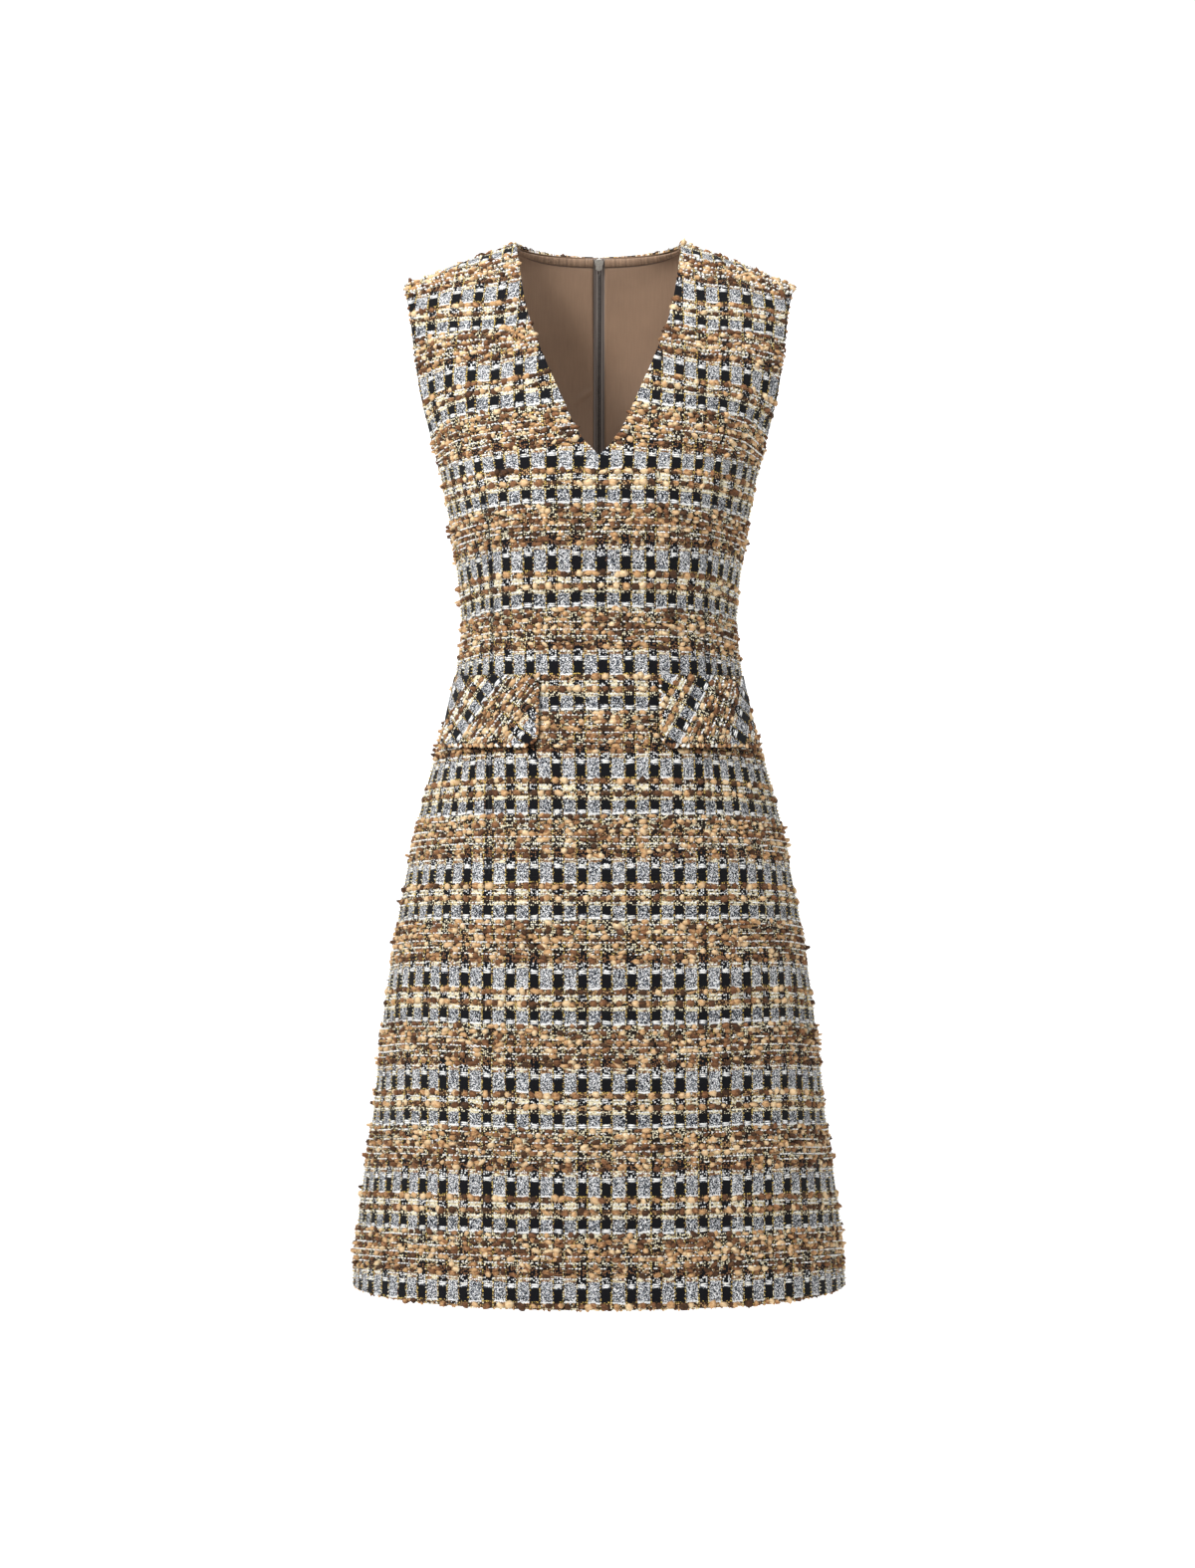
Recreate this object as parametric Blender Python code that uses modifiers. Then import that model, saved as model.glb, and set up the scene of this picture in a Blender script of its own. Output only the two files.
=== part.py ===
"""Sleeveless V-neck shift dress, standing open as if worn, with a concealed zip at the centre back.

Every cloth piece is a wall lofted from the same stations. A station is one level line of the
garment, from the centre front or centre back to the side seam, or above the underarm to the armhole.
Sizes are in millimetres, the objects in metres. The origin is midway between the shoulder tops,
+X is the wearer's left, -Y the front and +Z up.
"""

import math

import bmesh
import bpy
import numpy as np
from mathutils import Matrix, Vector

MM = 0.001

# Driving dimensions
HEM_Z = -928.0  # below the shoulder tops
NECK_HALF = 74.0  # centre line to shoulder top
SHOULDER_HALF = 174.0  # centre line to shoulder tip
SHOULDER_DROP = 38.0  # shoulder top to shoulder tip
BACK_NECK_DROP = 6.0
BACK_NECK_DEPTH = 38.0  # how far the centre of the back neck lies behind the shoulder tops
BACK_ROUND = 62.0  # length of cloth from the last back station to the neckline
V_POINT_Z = -204.0
UNDERARM_Z = -206.0
BUST = {"x": 84.0, "z": -240.0, "rise": 5.0, "spread": 52.0}

CLOTH = 2.4  # tweed wall
LINING = 1.0
TAPE = 1.0
SEAM_GAP = 0.3

# The body below the underarm: one row for each level, hem first.
SECTIONS = (
    # z, half_width, front_depth, back_depth, square
    (HEM_Z, 219.5, 153.0, 150.0, 2.15),
    (-860.0, 213.0, 148.0, 146.0, 2.15),
    (-780.0, 201.5, 142.0, 142.0, 2.15),
    (-700.0, 193.0, 136.0, 137.0, 2.20),
    (-620.0, 181.5, 130.0, 132.0, 2.20),
    (-560.0, 170.5, 124.0, 128.0, 2.20),
    (-505.0, 158.5, 117.0, 117.0, 2.20),
    (-450.0, 143.0, 109.0, 101.0, 2.20),
    (-400.0, 130.0, 102.5, 87.0, 2.20),
    (-345.0, 122.0, 99.0, 80.0, 2.25),
    (-300.0, 125.3, 110.5, 84.0, 2.30),
    (-270.0, 129.8, 122.0, 88.0, 2.35),
    (-238.0, 135.0, 129.5, 91.8, 2.40),
)
# Above the underarm: the front between its neckline and its armhole.
FRONT_YOKE = (
    # neck_x, neck_y, neck_z, arm_x, arm_y, arm_z, turn, square
    (0.0, -127.0, V_POINT_Z, 141.5, 0.0, UNDERARM_Z, 90.0, 2.40),
    (2.6, -126.3, -201.0, 141.7, -6.0, -205.4, 86.0, 2.40),
    (13.6, -122.5, -189.0, 143.0, -18.0, -200.3, 79.0, 2.35),
    (21.3, -118.0, -176.0, 145.2, -27.5, -191.7, 74.0, 2.30),
    (32.5, -108.5, -150.0, 150.0, -38.0, -172.0, 68.0, 2.20),
    (46.0, -92.5, -118.0, 156.5, -43.0, -145.0, 62.0, 2.10),
    (54.0, -80.5, -97.0, 161.0, -42.5, -119.0, 58.0, 2.00),
    (61.5, -65.5, -74.0, 164.5, -38.0, -93.0, 54.0, 2.00),
    (66.8, -51.0, -49.0, 167.2, -31.0, -70.0, 50.0, 2.00),
    (70.4, -38.0, -25.5, 170.3, -24.0, -55.0, 46.0, 2.00),
    (72.7, -26.0, -10.8, 172.5, -17.0, -45.5, 42.0, 2.00),
    (73.7, -16.5, -3.9, 173.6, -11.0, -40.8, 38.0, 2.00),
    (NECK_HALF, -8.0, -0.85, 174.0, -5.5, -38.7, 34.0, 2.00),
    (NECK_HALF, -3.0, -0.1, SHOULDER_HALF, -2.5, -SHOULDER_DROP - 0.1, 32.0, 2.00),
    (NECK_HALF, 0.0, 0.0, SHOULDER_HALF, 0.0, -SHOULDER_DROP, 30.0, 2.00),
)
# The back between its centre line and its armhole, up to where it rounds over to the shoulder.
BACK_YOKE = (
    # centre_x, centre_y, centre_z, arm_x, arm_y, arm_z, turn, square
    (0.0, 93.0, -204.0, 141.5, 0.0, UNDERARM_Z, 90.0, 2.40),
    (0.0, 93.5, -192.0, 142.1, 11.0, -203.8, 83.0, 2.35),
    (0.0, 93.8, -178.0, 144.0, 21.5, -197.0, 78.0, 2.30),
    (0.0, 93.3, -156.0, 148.3, 33.0, -180.5, 72.0, 2.25),
    (0.0, 91.0, -132.0, 155.0, 39.5, -152.0, 66.0, 2.20),
    (0.0, 86.8, -108.0, 160.6, 40.0, -122.0, 60.0, 2.10),
    (0.0, 79.8, -84.0, 164.5, 36.5, -94.0, 56.0, 2.00),
    (0.0, 69.5, -60.0, 167.2, 30.0, -71.0, 52.0, 2.00),
)

# Pocket flaps, as heights and as lengths along the front from its centre line
FLAP = {"inner": 52.5, "width": 106.0, "top_z": -389.5, "bottom_z": -451.5, "corner": 10.0}
FLAP_LIFT = {"top": 0.5, "bottom": 2.6}  # beyond the seam gap

# Depths below the back's outer face, and places from the centre line, of what lies inside it
TAPE_DEPTH = CLOTH + SEAM_GAP
LINING_DEPTH = TAPE_DEPTH + TAPE + SEAM_GAP
TAPE_EDGES = {"inner": 0.85, "outer": 12.0, "top_z": -8.0}
COIL = {"inner": SEAM_GAP / 2.0, "outer": 2.4, "top_z": -20.5, "thick": 1.4}
LINING_EDGES = {"inner": 5.4, "neck_drop": 1.0, "hem_lift": 30.0}
ZIP_END_Z = -500.0
# Half the gap between the two lips of the centre back, by height
LIP_PARTING = ((-60.0, SEAM_GAP / 2.0), (-30.0, 0.75), (0.0, 0.85))

# The slider and its pull, in the slider's own frame: Y up along the zip, Z out of the cloth
SLIDER_Z = -10.5  # where the closed slider sits on the centre-back line
SLIDER = {"crown_half": 3.9, "waist_half": 2.9, "up": 5.2, "down": 5.4, "thick": 2.6, "round": 0.4}
BAIL = {"half_thick": 0.45, "axis_out": 3.0, "eye": 1.05, "rim": 0.85}
PULL = {"bar": 0.6, "thick": 1.2, "slot_half": 1.3, "slot": 2.9, "head_half": 2.5, "foot_half": 3.4}
PULL_LENGTH = 24.0

# Mesh density
LOWER_ROWS = 22
UPPER_ROWS = 10
HALF_COLUMNS = 10
FLAP_ROWS = 3
FLAP_COLUMNS = 7
FLAP_CORNER_TURNS = (0.0, 45.0, 90.0)
FINE = 72  # points on each level line before it is resampled by length
EDGE_STRIP = 3.0  # width of the last column and row of faces, which squares the wall's edge at a seam


# --- level lines -------------------------------------------------------------------------------


def pchip(at, keys, values):
    """Read a table's columns at `at`, on smooth curves through its rows that never overshoot."""
    keys, values = np.asarray(keys, float), np.asarray(values, float)
    step = np.diff(keys)[:, None]
    secant = np.diff(values, axis=0) / step
    before, after = secant[:-1], secant[1:]
    same_way = before * after > 0.0
    slope = np.empty_like(values)
    slope[0], slope[-1] = secant[0], secant[-1]
    slope[1:-1] = np.where(same_way, 2.0 * before * after / np.where(same_way, before + after, 1.0), 0.0)
    low = int(np.clip(np.searchsorted(keys, at, side="right") - 1, 0, len(keys) - 2))
    return hermite((at - keys[low]) / step[low], values[low], step[low] * slope[low],
                   values[low + 1], step[low] * slope[low + 1])


def hermite(t, start, leave, end, arrive):
    """A cubic from start to end with the given tangents, at t from 0 to 1."""
    return (
        (2 * t**3 - 3 * t**2 + 1) * start
        + (t**3 - 2 * t**2 + t) * leave
        + (3 * t**2 - 2 * t**3) * end
        + (t**3 - t**2) * arrive
    )


def body_stations(side):
    """Turn the sections into stations for the front (side -1) or the back (side +1)."""
    rows = []
    for z, half_width, front_depth, back_depth, square in SECTIONS:
        depth = front_depth if side < 0 else back_depth
        rows.append((0.0, side * depth, z, half_width, 0.0, z, 90.0, square))
    return rows


def station_keys(stations):
    """Place the stations by height up to the underarm, and by length of cloth above it."""
    table = np.array(stations)
    heights = table[: UNDERARM_ROW + 1, 5] - HEM_Z
    middle = (table[UNDERARM_ROW:, 0:3] + table[UNDERARM_ROW:, 3:6]) / 2.0
    lengths = np.cumsum(np.linalg.norm(np.diff(middle, axis=0), axis=1))
    return np.concatenate([heights, heights[-1] + lengths])


UNDERARM_ROW = len(SECTIONS)
FRONT_STATIONS = body_stations(-1) + list(FRONT_YOKE)
BACK_STATIONS = body_stations(+1) + list(BACK_YOKE)
FRONT_KEYS = station_keys(FRONT_STATIONS)
BACK_KEYS = station_keys(BACK_STATIONS)
BACK_END = BACK_KEYS[-1] + BACK_ROUND


def level_line(station):
    """Draw one station as a fine curve from its inner point to its outer one."""
    inner, outer, turn, square = station[0:3], station[3:6], math.radians(station[6]), station[7]
    angle = np.linspace(0.0, turn, FINE)
    power = 2.0 / square
    across = (np.sin(angle) / math.sin(turn)) ** power
    back = 1.0 - np.maximum(np.cos(angle), 0.0) ** power
    back /= 1.0 - max(math.cos(turn), 0.0) ** power
    shares = np.stack([across, back, across], axis=1)
    return inner + (outer - inner) * shares


def front_line(distance):
    """The front's level line at a distance up from the hem, pushed out over the bust."""
    line = level_line(pchip(distance, FRONT_KEYS, FRONT_STATIONS))
    away = (line[:, 0] - BUST["x"]) ** 2 + (line[:, 2] - BUST["z"]) ** 2
    line[:, 1] -= BUST["rise"] * np.exp(-away / BUST["spread"] ** 2)
    return line


def back_top_line():
    """The back neckline from the centre back to the shoulder top, then the shoulder seam."""
    neck = FINE * 2 // 5
    angle = np.linspace(0.0, math.pi / 2.0, neck)
    depth, drop = BACK_NECK_DEPTH * np.cos(angle), BACK_NECK_DROP * np.cos(angle) ** 1.5
    curve = np.stack([NECK_HALF * np.sin(angle), depth, -drop], axis=1)
    along = np.linspace(0.0, 1.0, FINE - neck + 1)[1:, None]
    top, tip = np.array([NECK_HALF, 0.0, 0.0]), np.array([SHOULDER_HALF, 0.0, -SHOULDER_DROP])
    return np.concatenate([curve, top + (tip - top) * along])


def shoulder_top_share():
    """Where the shoulder top lies along the back's top line, as a share of its length."""
    line = back_top_line()
    lengths = np.linalg.norm(np.diff(line, axis=0), axis=1)
    return float(lengths[line[1:, 0] < NECK_HALF + 0.001].sum() / lengths.sum())


def back_line(distance):
    """The back's level line at a distance up from the hem. Past the last station it rounds over."""
    last = BACK_KEYS[-1]
    if distance <= last:
        return level_line(pchip(distance, BACK_KEYS, BACK_STATIONS))
    start = evenly(level_line(np.array(BACK_STATIONS[-1])), FINE)
    below = evenly(level_line(pchip(last - 1.0, BACK_KEYS, BACK_STATIONS)), FINE)
    top = evenly(back_top_line(), FINE)
    reach = np.linalg.norm(top - start, axis=1)[:, None]
    # the cloth arrives steeply at the centre of the neckline and level at the shoulder seam
    level = np.clip(top[:, 0] / NECK_HALF, 0.0, 1.0)[:, None] ** 2
    arrive = (1.0 - level) * np.array([[0.0, -0.5, 0.86]]) + level * np.array([[0.0, -1.0, 0.0]])
    return hermite((distance - last) / BACK_ROUND, start, (start - below) * reach, top, arrive * reach)


def line_length(line):
    """A line's length."""
    return float(np.linalg.norm(np.diff(line, axis=0), axis=1).sum())


def resampled(line, places):
    """Place points at lengths along a line."""
    length = np.concatenate([[0.0], np.cumsum(np.linalg.norm(np.diff(line, axis=0), axis=1))])
    return np.stack([np.interp(places, length, line[:, axis]) for axis in range(3)], axis=1)


def evenly(line, count):
    """Place points evenly along a line."""
    return resampled(line, np.linspace(0.0, line_length(line), count))


# --- grids of outer-face points ----------------------------------------------------------------


def panel_columns(line, start, corner):
    """Lengths along a line for a panel's columns: one at the corner, and one close to the outer edge."""
    total = line_length(line)
    inner_columns = round(HALF_COLUMNS * corner)
    to_corner = np.linspace(start, corner * total, inner_columns + 1) if inner_columns else np.array([start])
    onward = np.linspace(to_corner[-1], total - EDGE_STRIP, HALF_COLUMNS - inner_columns + 1)
    return np.concatenate([to_corner[:-1], onward, [total - SEAM_GAP / 2.0]])


def panel_rows(underarm, end):
    """Distances up from the hem for a panel's rows, one of them at the underarm."""
    lower = np.linspace(0.0, underarm, LOWER_ROWS + 1)
    upper = np.linspace(underarm, end - EDGE_STRIP, UPPER_ROWS + 1)[1:]
    return np.concatenate([lower, upper, [end - SEAM_GAP / 2.0]])


def front_rows():
    """Distances up from the hem for the front's rows."""
    return panel_rows(FRONT_KEYS[UNDERARM_ROW], FRONT_KEYS[-1])


def front_grid():
    """Half of the front's outer face, from the centre front out."""
    lines = [front_line(distance) for distance in front_rows()]
    return np.stack([resampled(line, panel_columns(line, 0.0, 0.0)) for line in lines])


def back_grid():
    """Half of the back's outer face, from the centre back out, without the lips' parting."""
    corner = shoulder_top_share()
    lines = [back_line(distance) for distance in panel_rows(BACK_KEYS[UNDERARM_ROW], BACK_END)]
    return np.stack([resampled(line, panel_columns(line, SEAM_GAP / 2.0, corner)) for line in lines])


def with_parted_lips(back):
    """Move the back's centre edge out near the neck, where the slider's bail comes through."""
    parted = back.copy()
    for row in parted:
        gap = np.interp(row[0, 2], *zip(*LIP_PARTING))
        row[0] += (row[1] - row[0]) * (gap - row[0, 0]) / (row[1, 0] - row[0, 0])
    return parted


def moved_in(back, depth):
    """The back's points moved inwards. The centre column stays on the centre plane."""
    up, across = np.gradient(back, axis=0), np.gradient(back, axis=1)
    outward = np.cross(up, across)
    outward[:, 0, 0] = 0.0
    outward /= np.linalg.norm(outward, axis=2)[:, :, None]
    return back - outward * depth


def from_centre(back, distance):
    """The points of a back grid at a distance from the centre line, on its first faces."""
    first, second = back[:, 0], back[:, 1]
    width = np.linalg.norm(second - first, axis=1)[:, None]
    return first + (second - first) * (distance - SEAM_GAP / 2.0) / width


def row_at_height(grid, z):
    """A grid's row at a height, measured on its first column."""
    heights = grid[:, 0, 2]
    upper = int(np.searchsorted(heights, z))
    share = (z - heights[upper - 1]) / (heights[upper] - heights[upper - 1])
    return grid[upper - 1] + (grid[upper] - grid[upper - 1]) * share


def zip_strip(back, depth, inner, outer, top_z):
    """A strip beside the centre back on the inside, between two distances from the centre line."""
    inside = moved_in(back, depth)
    strip = np.stack([from_centre(inside, inner), from_centre(inside, outer)], axis=1)
    kept = (strip[:, 0, 2] > ZIP_END_Z + 1.0) & (strip[:, 0, 2] < top_z - 1.0)
    ends = row_at_height(strip, ZIP_END_Z)[None], row_at_height(strip, top_z)[None]
    return np.concatenate([ends[0], strip[kept], ends[1]])


def lining_grid(back):
    """Half of the back lining's outer face, from beside the zip out."""
    inside = moved_in(back, LINING_DEPTH)
    inner = from_centre(inside, LINING_EDGES["inner"])[:, None]
    panel = np.concatenate([inner, inside[:, 1:]], axis=1)
    hem_z = HEM_Z + LINING_EDGES["hem_lift"]
    down = (panel[-2] - panel[-1]) / np.linalg.norm(panel[-2] - panel[-1], axis=1)[:, None]
    top = panel[-1] + down * LINING_EDGES["neck_drop"]
    kept = panel[:-1][panel[:-1, 0, 2] > hem_z + 1.0]
    return np.concatenate([row_at_height(panel, hem_z)[None], kept, top[None]])


def on_front(front, distance, along):
    """A point on the faces of the front's grid."""
    rows = front_rows()
    upper = int(np.searchsorted(rows, distance))
    low, high = (resampled(front[r], np.array([along]))[0] for r in (upper - 1, upper))
    return low + (high - low) * (distance - rows[upper - 1]) / (rows[upper] - rows[upper - 1])


def front_normal(distance, along, reach=2.0):
    """The front's outward unit normal at a distance up from the hem and a length from its centre."""
    here = np.array([along - reach, along, along + reach])
    left, _, right = resampled(front_line(distance), here)
    below, above = (resampled(front_line(distance + step), here)[1] for step in (-reach, reach))
    out = np.cross(right - left, above - below)
    return out / np.linalg.norm(out)


def flap_grid(front):
    """A pocket flap's outer face: points of the front moved out, with a rounded lower inner corner."""
    corner, height = FLAP["corner"], FLAP["top_z"] - FLAP["bottom_z"]
    turned = [corner * (1.0 - math.cos(math.radians(angle))) for angle in FLAP_CORNER_TURNS]
    columns = np.linspace(corner, FLAP["width"], FLAP_COLUMNS)
    grid = []
    for up in turned + list(np.linspace(corner, height, FLAP_ROWS + 1)[1:]):
        inset = corner - math.sqrt(corner**2 - max(corner - up, 0.0) ** 2)
        beyond = FLAP_LIFT["bottom"] + (FLAP_LIFT["top"] - FLAP_LIFT["bottom"]) * up / height
        lift = SEAM_GAP + CLOTH + beyond
        distance = FLAP["bottom_z"] + up - HEM_Z
        places = FLAP["inner"] + np.concatenate([[inset], columns])
        grid.append([on_front(front, distance, x) + front_normal(distance, x) * lift for x in places])
    return np.array(grid)


# --- objects -----------------------------------------------------------------------------------


def cloth(name, grid, thickness, material, mirrored=False, other_side=False):
    """Make a wall from a grid of outer-face points. It thickens inwards."""
    points = np.array(grid)
    if other_side:
        points[:, :, 0] *= -1.0
    bm = bmesh.new()
    verts = [[bm.verts.new(Vector(point) * MM) for point in row] for row in points]
    for lower, upper in zip(verts, verts[1:]):
        for column in range(len(lower) - 1):
            bm.faces.new((lower[column], lower[column + 1], upper[column + 1], upper[column]))
    bm.normal_update()
    bm.faces.ensure_lookup_table()
    sample = bm.faces[0]
    if sample.normal.dot(sample.calc_center_median() * Vector((1.0, 1.0, 0.0))) < 0.0:
        bmesh.ops.reverse_faces(bm, faces=bm.faces)
    mesh = bpy.data.meshes.new(name)
    bm.to_mesh(mesh)
    bm.free()
    mesh.shade_smooth()
    mesh.materials.append(material)
    piece = bpy.data.objects.new(name, mesh)
    DRESS.objects.link(piece)
    if mirrored:
        mirror = piece.modifiers.new("other_half", "MIRROR")
        mirror.merge_threshold = 0.00005
    wall = piece.modifiers.new("wall", "SOLIDIFY")
    wall.thickness = thickness * MM
    wall.offset = -1.0
    wall.use_even_offset = True
    wall.use_quality_normals = True


def arc(centre, radius, start, stop, steps):
    """Points on a circle's arc, angles in degrees."""
    angles = np.radians(np.linspace(start, stop, steps + 1))
    return [(centre[0] + radius * math.cos(a), centre[1] + radius * math.sin(a)) for a in angles]


def plate(name, outlines, thickness):
    """A flat plate in the XY plane from closed outlines, the first round the rest."""
    curve = bpy.data.curves.new(name, "CURVE")
    curve.dimensions = "2D"
    curve.fill_mode = "BOTH"
    curve.extrude = thickness * MM / 2.0
    for outline in outlines:
        spline = curve.splines.new("POLY")
        spline.points.add(len(outline) - 1)
        for point, (x, y) in zip(spline.points, outline):
            point.co = (x * MM, y * MM, 0.0, 1.0)
        spline.use_cyclic_u = True
    drawn = bpy.data.objects.new(name + "_outline", curve)
    bpy.context.scene.collection.objects.link(drawn)
    mesh = bpy.data.meshes.new_from_object(drawn.evaluated_get(bpy.context.evaluated_depsgraph_get()))
    bpy.data.objects.remove(drawn)
    bm = bmesh.new()
    bm.from_mesh(mesh)
    bmesh.ops.remove_doubles(bm, verts=bm.verts, dist=0.00001)
    bmesh.ops.recalc_face_normals(bm, faces=bm.faces)
    bm.to_mesh(mesh)
    bm.free()
    return bpy.data.objects.new(name, mesh)


def slider_frame():
    """The slider's own frame on the centre-back line, sloping as the line does there."""
    profile = np.array([back_line(d)[0] for d in np.linspace(BACK_KEYS[-1], BACK_END, 40)])
    low, y, high = (
        float(np.interp(SLIDER_Z + step, profile[:, 2], profile[:, 1])) for step in (-4.0, 0.0, 4.0)
    )
    up = Vector((0.0, high - low, 8.0)).normalized()
    across = Vector((-1.0, 0.0, 0.0))
    axes = Matrix((across, up, across.cross(up))).transposed().to_4x4()
    return Matrix.Translation(Vector((0.0, y, SLIDER_Z)) * MM) @ axes


def shield_outline():
    """The slider body's outline: a crown over a narrower foot."""
    crown, waist, up, down = (SLIDER[key] for key in ("crown_half", "waist_half", "up", "down"))
    right = [(waist, 1.0 - down), (waist + 0.1, -1.0), (crown, 1.2), (crown, up - 2.0)]
    left = [(-x, y) for x, y in reversed(right)]
    top = arc((0.0, up - crown), crown, 35.0, 145.0, 8)
    return right + top + left + arc((0.0, waist - down - 0.4), waist, 215.0, 325.0, 6)


def zip_slider(material):
    """The slider: a shield-shaped body on the inside and a bail through the lips on the outside."""
    body = plate("zip_slider", [shield_outline()], SLIDER["thick"])
    middle = -(LINING_DEPTH + SLIDER["thick"] / 2.0)
    body.data.transform(Matrix.Translation((0.0, 0.0, middle * MM)))
    rounded = body.modifiers.new("rounded", "BEVEL")
    rounded.width = SLIDER["round"] * MM
    rounded.segments = 2
    rounded.limit_method = "ANGLE"
    rounded.angle_limit = math.radians(50.0)

    centre, rim = BAIL["axis_out"], BAIL["eye"] + BAIL["rim"]
    profile = [(middle, -rim), (centre, -rim)] + arc((centre, 0.0), rim, -80.0, 80.0, 12)
    profile += [(centre, rim), (middle, rim)]
    eye = arc((centre, 0.0), BAIL["eye"], 0.0, 360.0, 16)[:-1]
    bail = plate("bail", [profile, eye], 2.0 * BAIL["half_thick"])
    # the plate's X becomes the slider's Z, and its Z becomes X
    bail.data.transform(Matrix(((0, 0, 1, 0), (0, 1, 0, 0), (1, 0, 0, 0), (0, 0, 0, 1))))
    bail.data.flip_normals()
    bail.hide_render = True
    bail.display_type = "WIRE"
    GUIDES.objects.link(bail)
    DRESS.objects.link(body)
    joined = body.modifiers.new("bail", "BOOLEAN")
    joined.operation = "UNION"
    joined.object = bail
    body.matrix_world = bail.matrix_world = slider_frame()
    body.data.materials.append(material)


def zip_pull(material):
    """The pull tab: its head's bar runs through the bail's eye, and the tab hangs down the cloth."""
    bar, slot_half, slot = PULL["bar"], PULL["slot_half"], PULL["slot"]
    head, foot = PULL["head_half"], PULL["foot_half"]
    top = [(head - 0.5, bar), (head, bar - 0.5)]
    side = [(head, -slot), (foot, foot + 1.0 - PULL_LENGTH)]
    end = arc((0.0, foot - PULL_LENGTH), foot, 0.0, -180.0, 12)
    outline = top + side + end + [(-x, y) for x, y in reversed(top + side)]
    low = -bar - slot
    window = [(slot_half, -bar), (-slot_half, -bar), (-slot_half, low), (slot_half, low)]
    tab = plate("zip_pull", [outline, window], PULL["thick"])
    DRESS.objects.link(tab)
    # its origin is on the hinge's axis
    tab.matrix_world = slider_frame() @ Matrix.Translation((0.0, 0.0, BAIL["axis_out"] * MM))
    tab.data.materials.append(material)


def finish(name, colour, roughness, metallic=0.0):
    """A material with a piece's colour and shine."""
    material = bpy.data.materials.new(name)
    material.use_nodes = True
    shader = material.node_tree.nodes["Principled BSDF"]
    shader.inputs["Base Color"].default_value = (*colour, 1.0)
    shader.inputs["Roughness"].default_value = roughness
    shader.inputs["Metallic"].default_value = metallic
    return material


def collection(name):
    """A new collection in the scene."""
    made = bpy.data.collections.new(name)
    bpy.context.scene.collection.children.link(made)
    return made


def build():
    """Make every piece of the dress."""
    tweed = finish("boucle_tweed", (0.42, 0.26, 0.14), 0.9)
    bias_tweed = finish("bias_tweed", (0.45, 0.28, 0.15), 0.9)
    lining = finish("lining", (0.28, 0.19, 0.13), 0.5)
    tape = finish("zip_tape", (0.14, 0.11, 0.10), 0.8)
    coil = finish("zip_coil", (0.20, 0.17, 0.15), 0.45)
    metal = finish("zip_metal", (0.60, 0.59, 0.57), 0.3, 1.0)

    front, back = front_grid(), back_grid()
    cloth("front_panel", front, CLOTH, tweed, mirrored=True)
    strips = (
        ("zip_tape", TAPE_EDGES, TAPE_DEPTH, TAPE, tape),
        ("zip_coil", COIL, LINING_DEPTH, COIL["thick"], coil),
    )
    for side in ("left", "right"):
        other = side == "right"
        cloth(f"back_panel_{side}", with_parted_lips(back), CLOTH, tweed, other_side=other)
        cloth(f"pocket_flap_{side}", flap_grid(front), CLOTH, bias_tweed, other_side=other)
        cloth(f"back_lining_{side}", lining_grid(back), LINING, lining, other_side=other)
        for name, place, depth, thickness, material in strips:
            strip = zip_strip(back, depth, place["inner"], place["outer"], place["top_z"])
            cloth(f"{name}_{side}", strip, thickness, material, other_side=other)
    zip_slider(metal)
    zip_pull(metal)


for old in list(bpy.data.objects):
    bpy.data.objects.remove(old, do_unlink=True)
DRESS = collection("shift_dress")
GUIDES = collection("guides")
build()
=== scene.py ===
"""Sleeveless V-neck shift dress in checked bouclé tweed, standing open as if worn.

The panels, flaps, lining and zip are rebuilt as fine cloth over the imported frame. Cloth sizes are in
millimetres and become metres where a mesh is made. +X is the wearer's left, -Y the front, +Z up.
"""

import logging
import math
from collections.abc import Sequence
from dataclasses import dataclass, field
from enum import Enum

import bmesh
import bpy
import numpy as np
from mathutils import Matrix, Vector


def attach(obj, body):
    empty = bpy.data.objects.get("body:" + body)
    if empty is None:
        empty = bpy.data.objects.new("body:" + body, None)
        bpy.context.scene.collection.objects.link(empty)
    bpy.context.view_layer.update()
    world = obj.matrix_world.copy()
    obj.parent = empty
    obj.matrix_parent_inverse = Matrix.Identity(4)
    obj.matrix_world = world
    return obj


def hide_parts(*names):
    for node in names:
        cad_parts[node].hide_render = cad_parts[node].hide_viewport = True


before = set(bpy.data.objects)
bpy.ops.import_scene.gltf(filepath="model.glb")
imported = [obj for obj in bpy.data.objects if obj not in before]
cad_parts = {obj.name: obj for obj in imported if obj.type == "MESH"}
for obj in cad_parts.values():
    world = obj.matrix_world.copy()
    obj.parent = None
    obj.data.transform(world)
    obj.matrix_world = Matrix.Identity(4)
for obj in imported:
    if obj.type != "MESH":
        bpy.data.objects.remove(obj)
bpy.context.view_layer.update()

Array = np.ndarray
Piece, Material = bpy.types.Object, bpy.types.Material
NodeTree, Socket = bpy.types.NodeTree, bpy.types.NodeSocket
Colour = tuple[float, float, float, float]
Spot = tuple[float, float, float]

LOG = logging.getLogger("shift_dress")
MM = 0.001  # metres
CLOTH = 2.4  # the tweed's thickness
HALF_GAP = 0.15  # from the middle of a seam to the cloth beside it
EDGE_STRIP = 2.6  # the narrow strip of faces along a sewn or folded edge
FAR = 60.0  # stands for no seam near by


class Side(Enum):
    """The wearer's side that a piece is on. The value is the sign of its X."""

    LEFT = 1
    RIGHT = -1

    @property
    def word(self) -> str:
        """The side's word in a piece's name."""
        return self.name.lower()


# --- reading tables ------------------------------------------------------------------------------


def hermite(share: Array, start: Array, leave: Array, end: Array,
            arrive: Array) -> Array:
    """Draw a cubic from start to end at shares from 0 to 1, with the tangents leave and arrive."""
    s2, s3 = share**2, share**3
    return ((2 * s3 - 3 * s2 + 1) * start + (s3 - 2 * s2 + share) * leave
            + (3 * s2 - 2 * s3) * end + (s3 - s2) * arrive)


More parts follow.
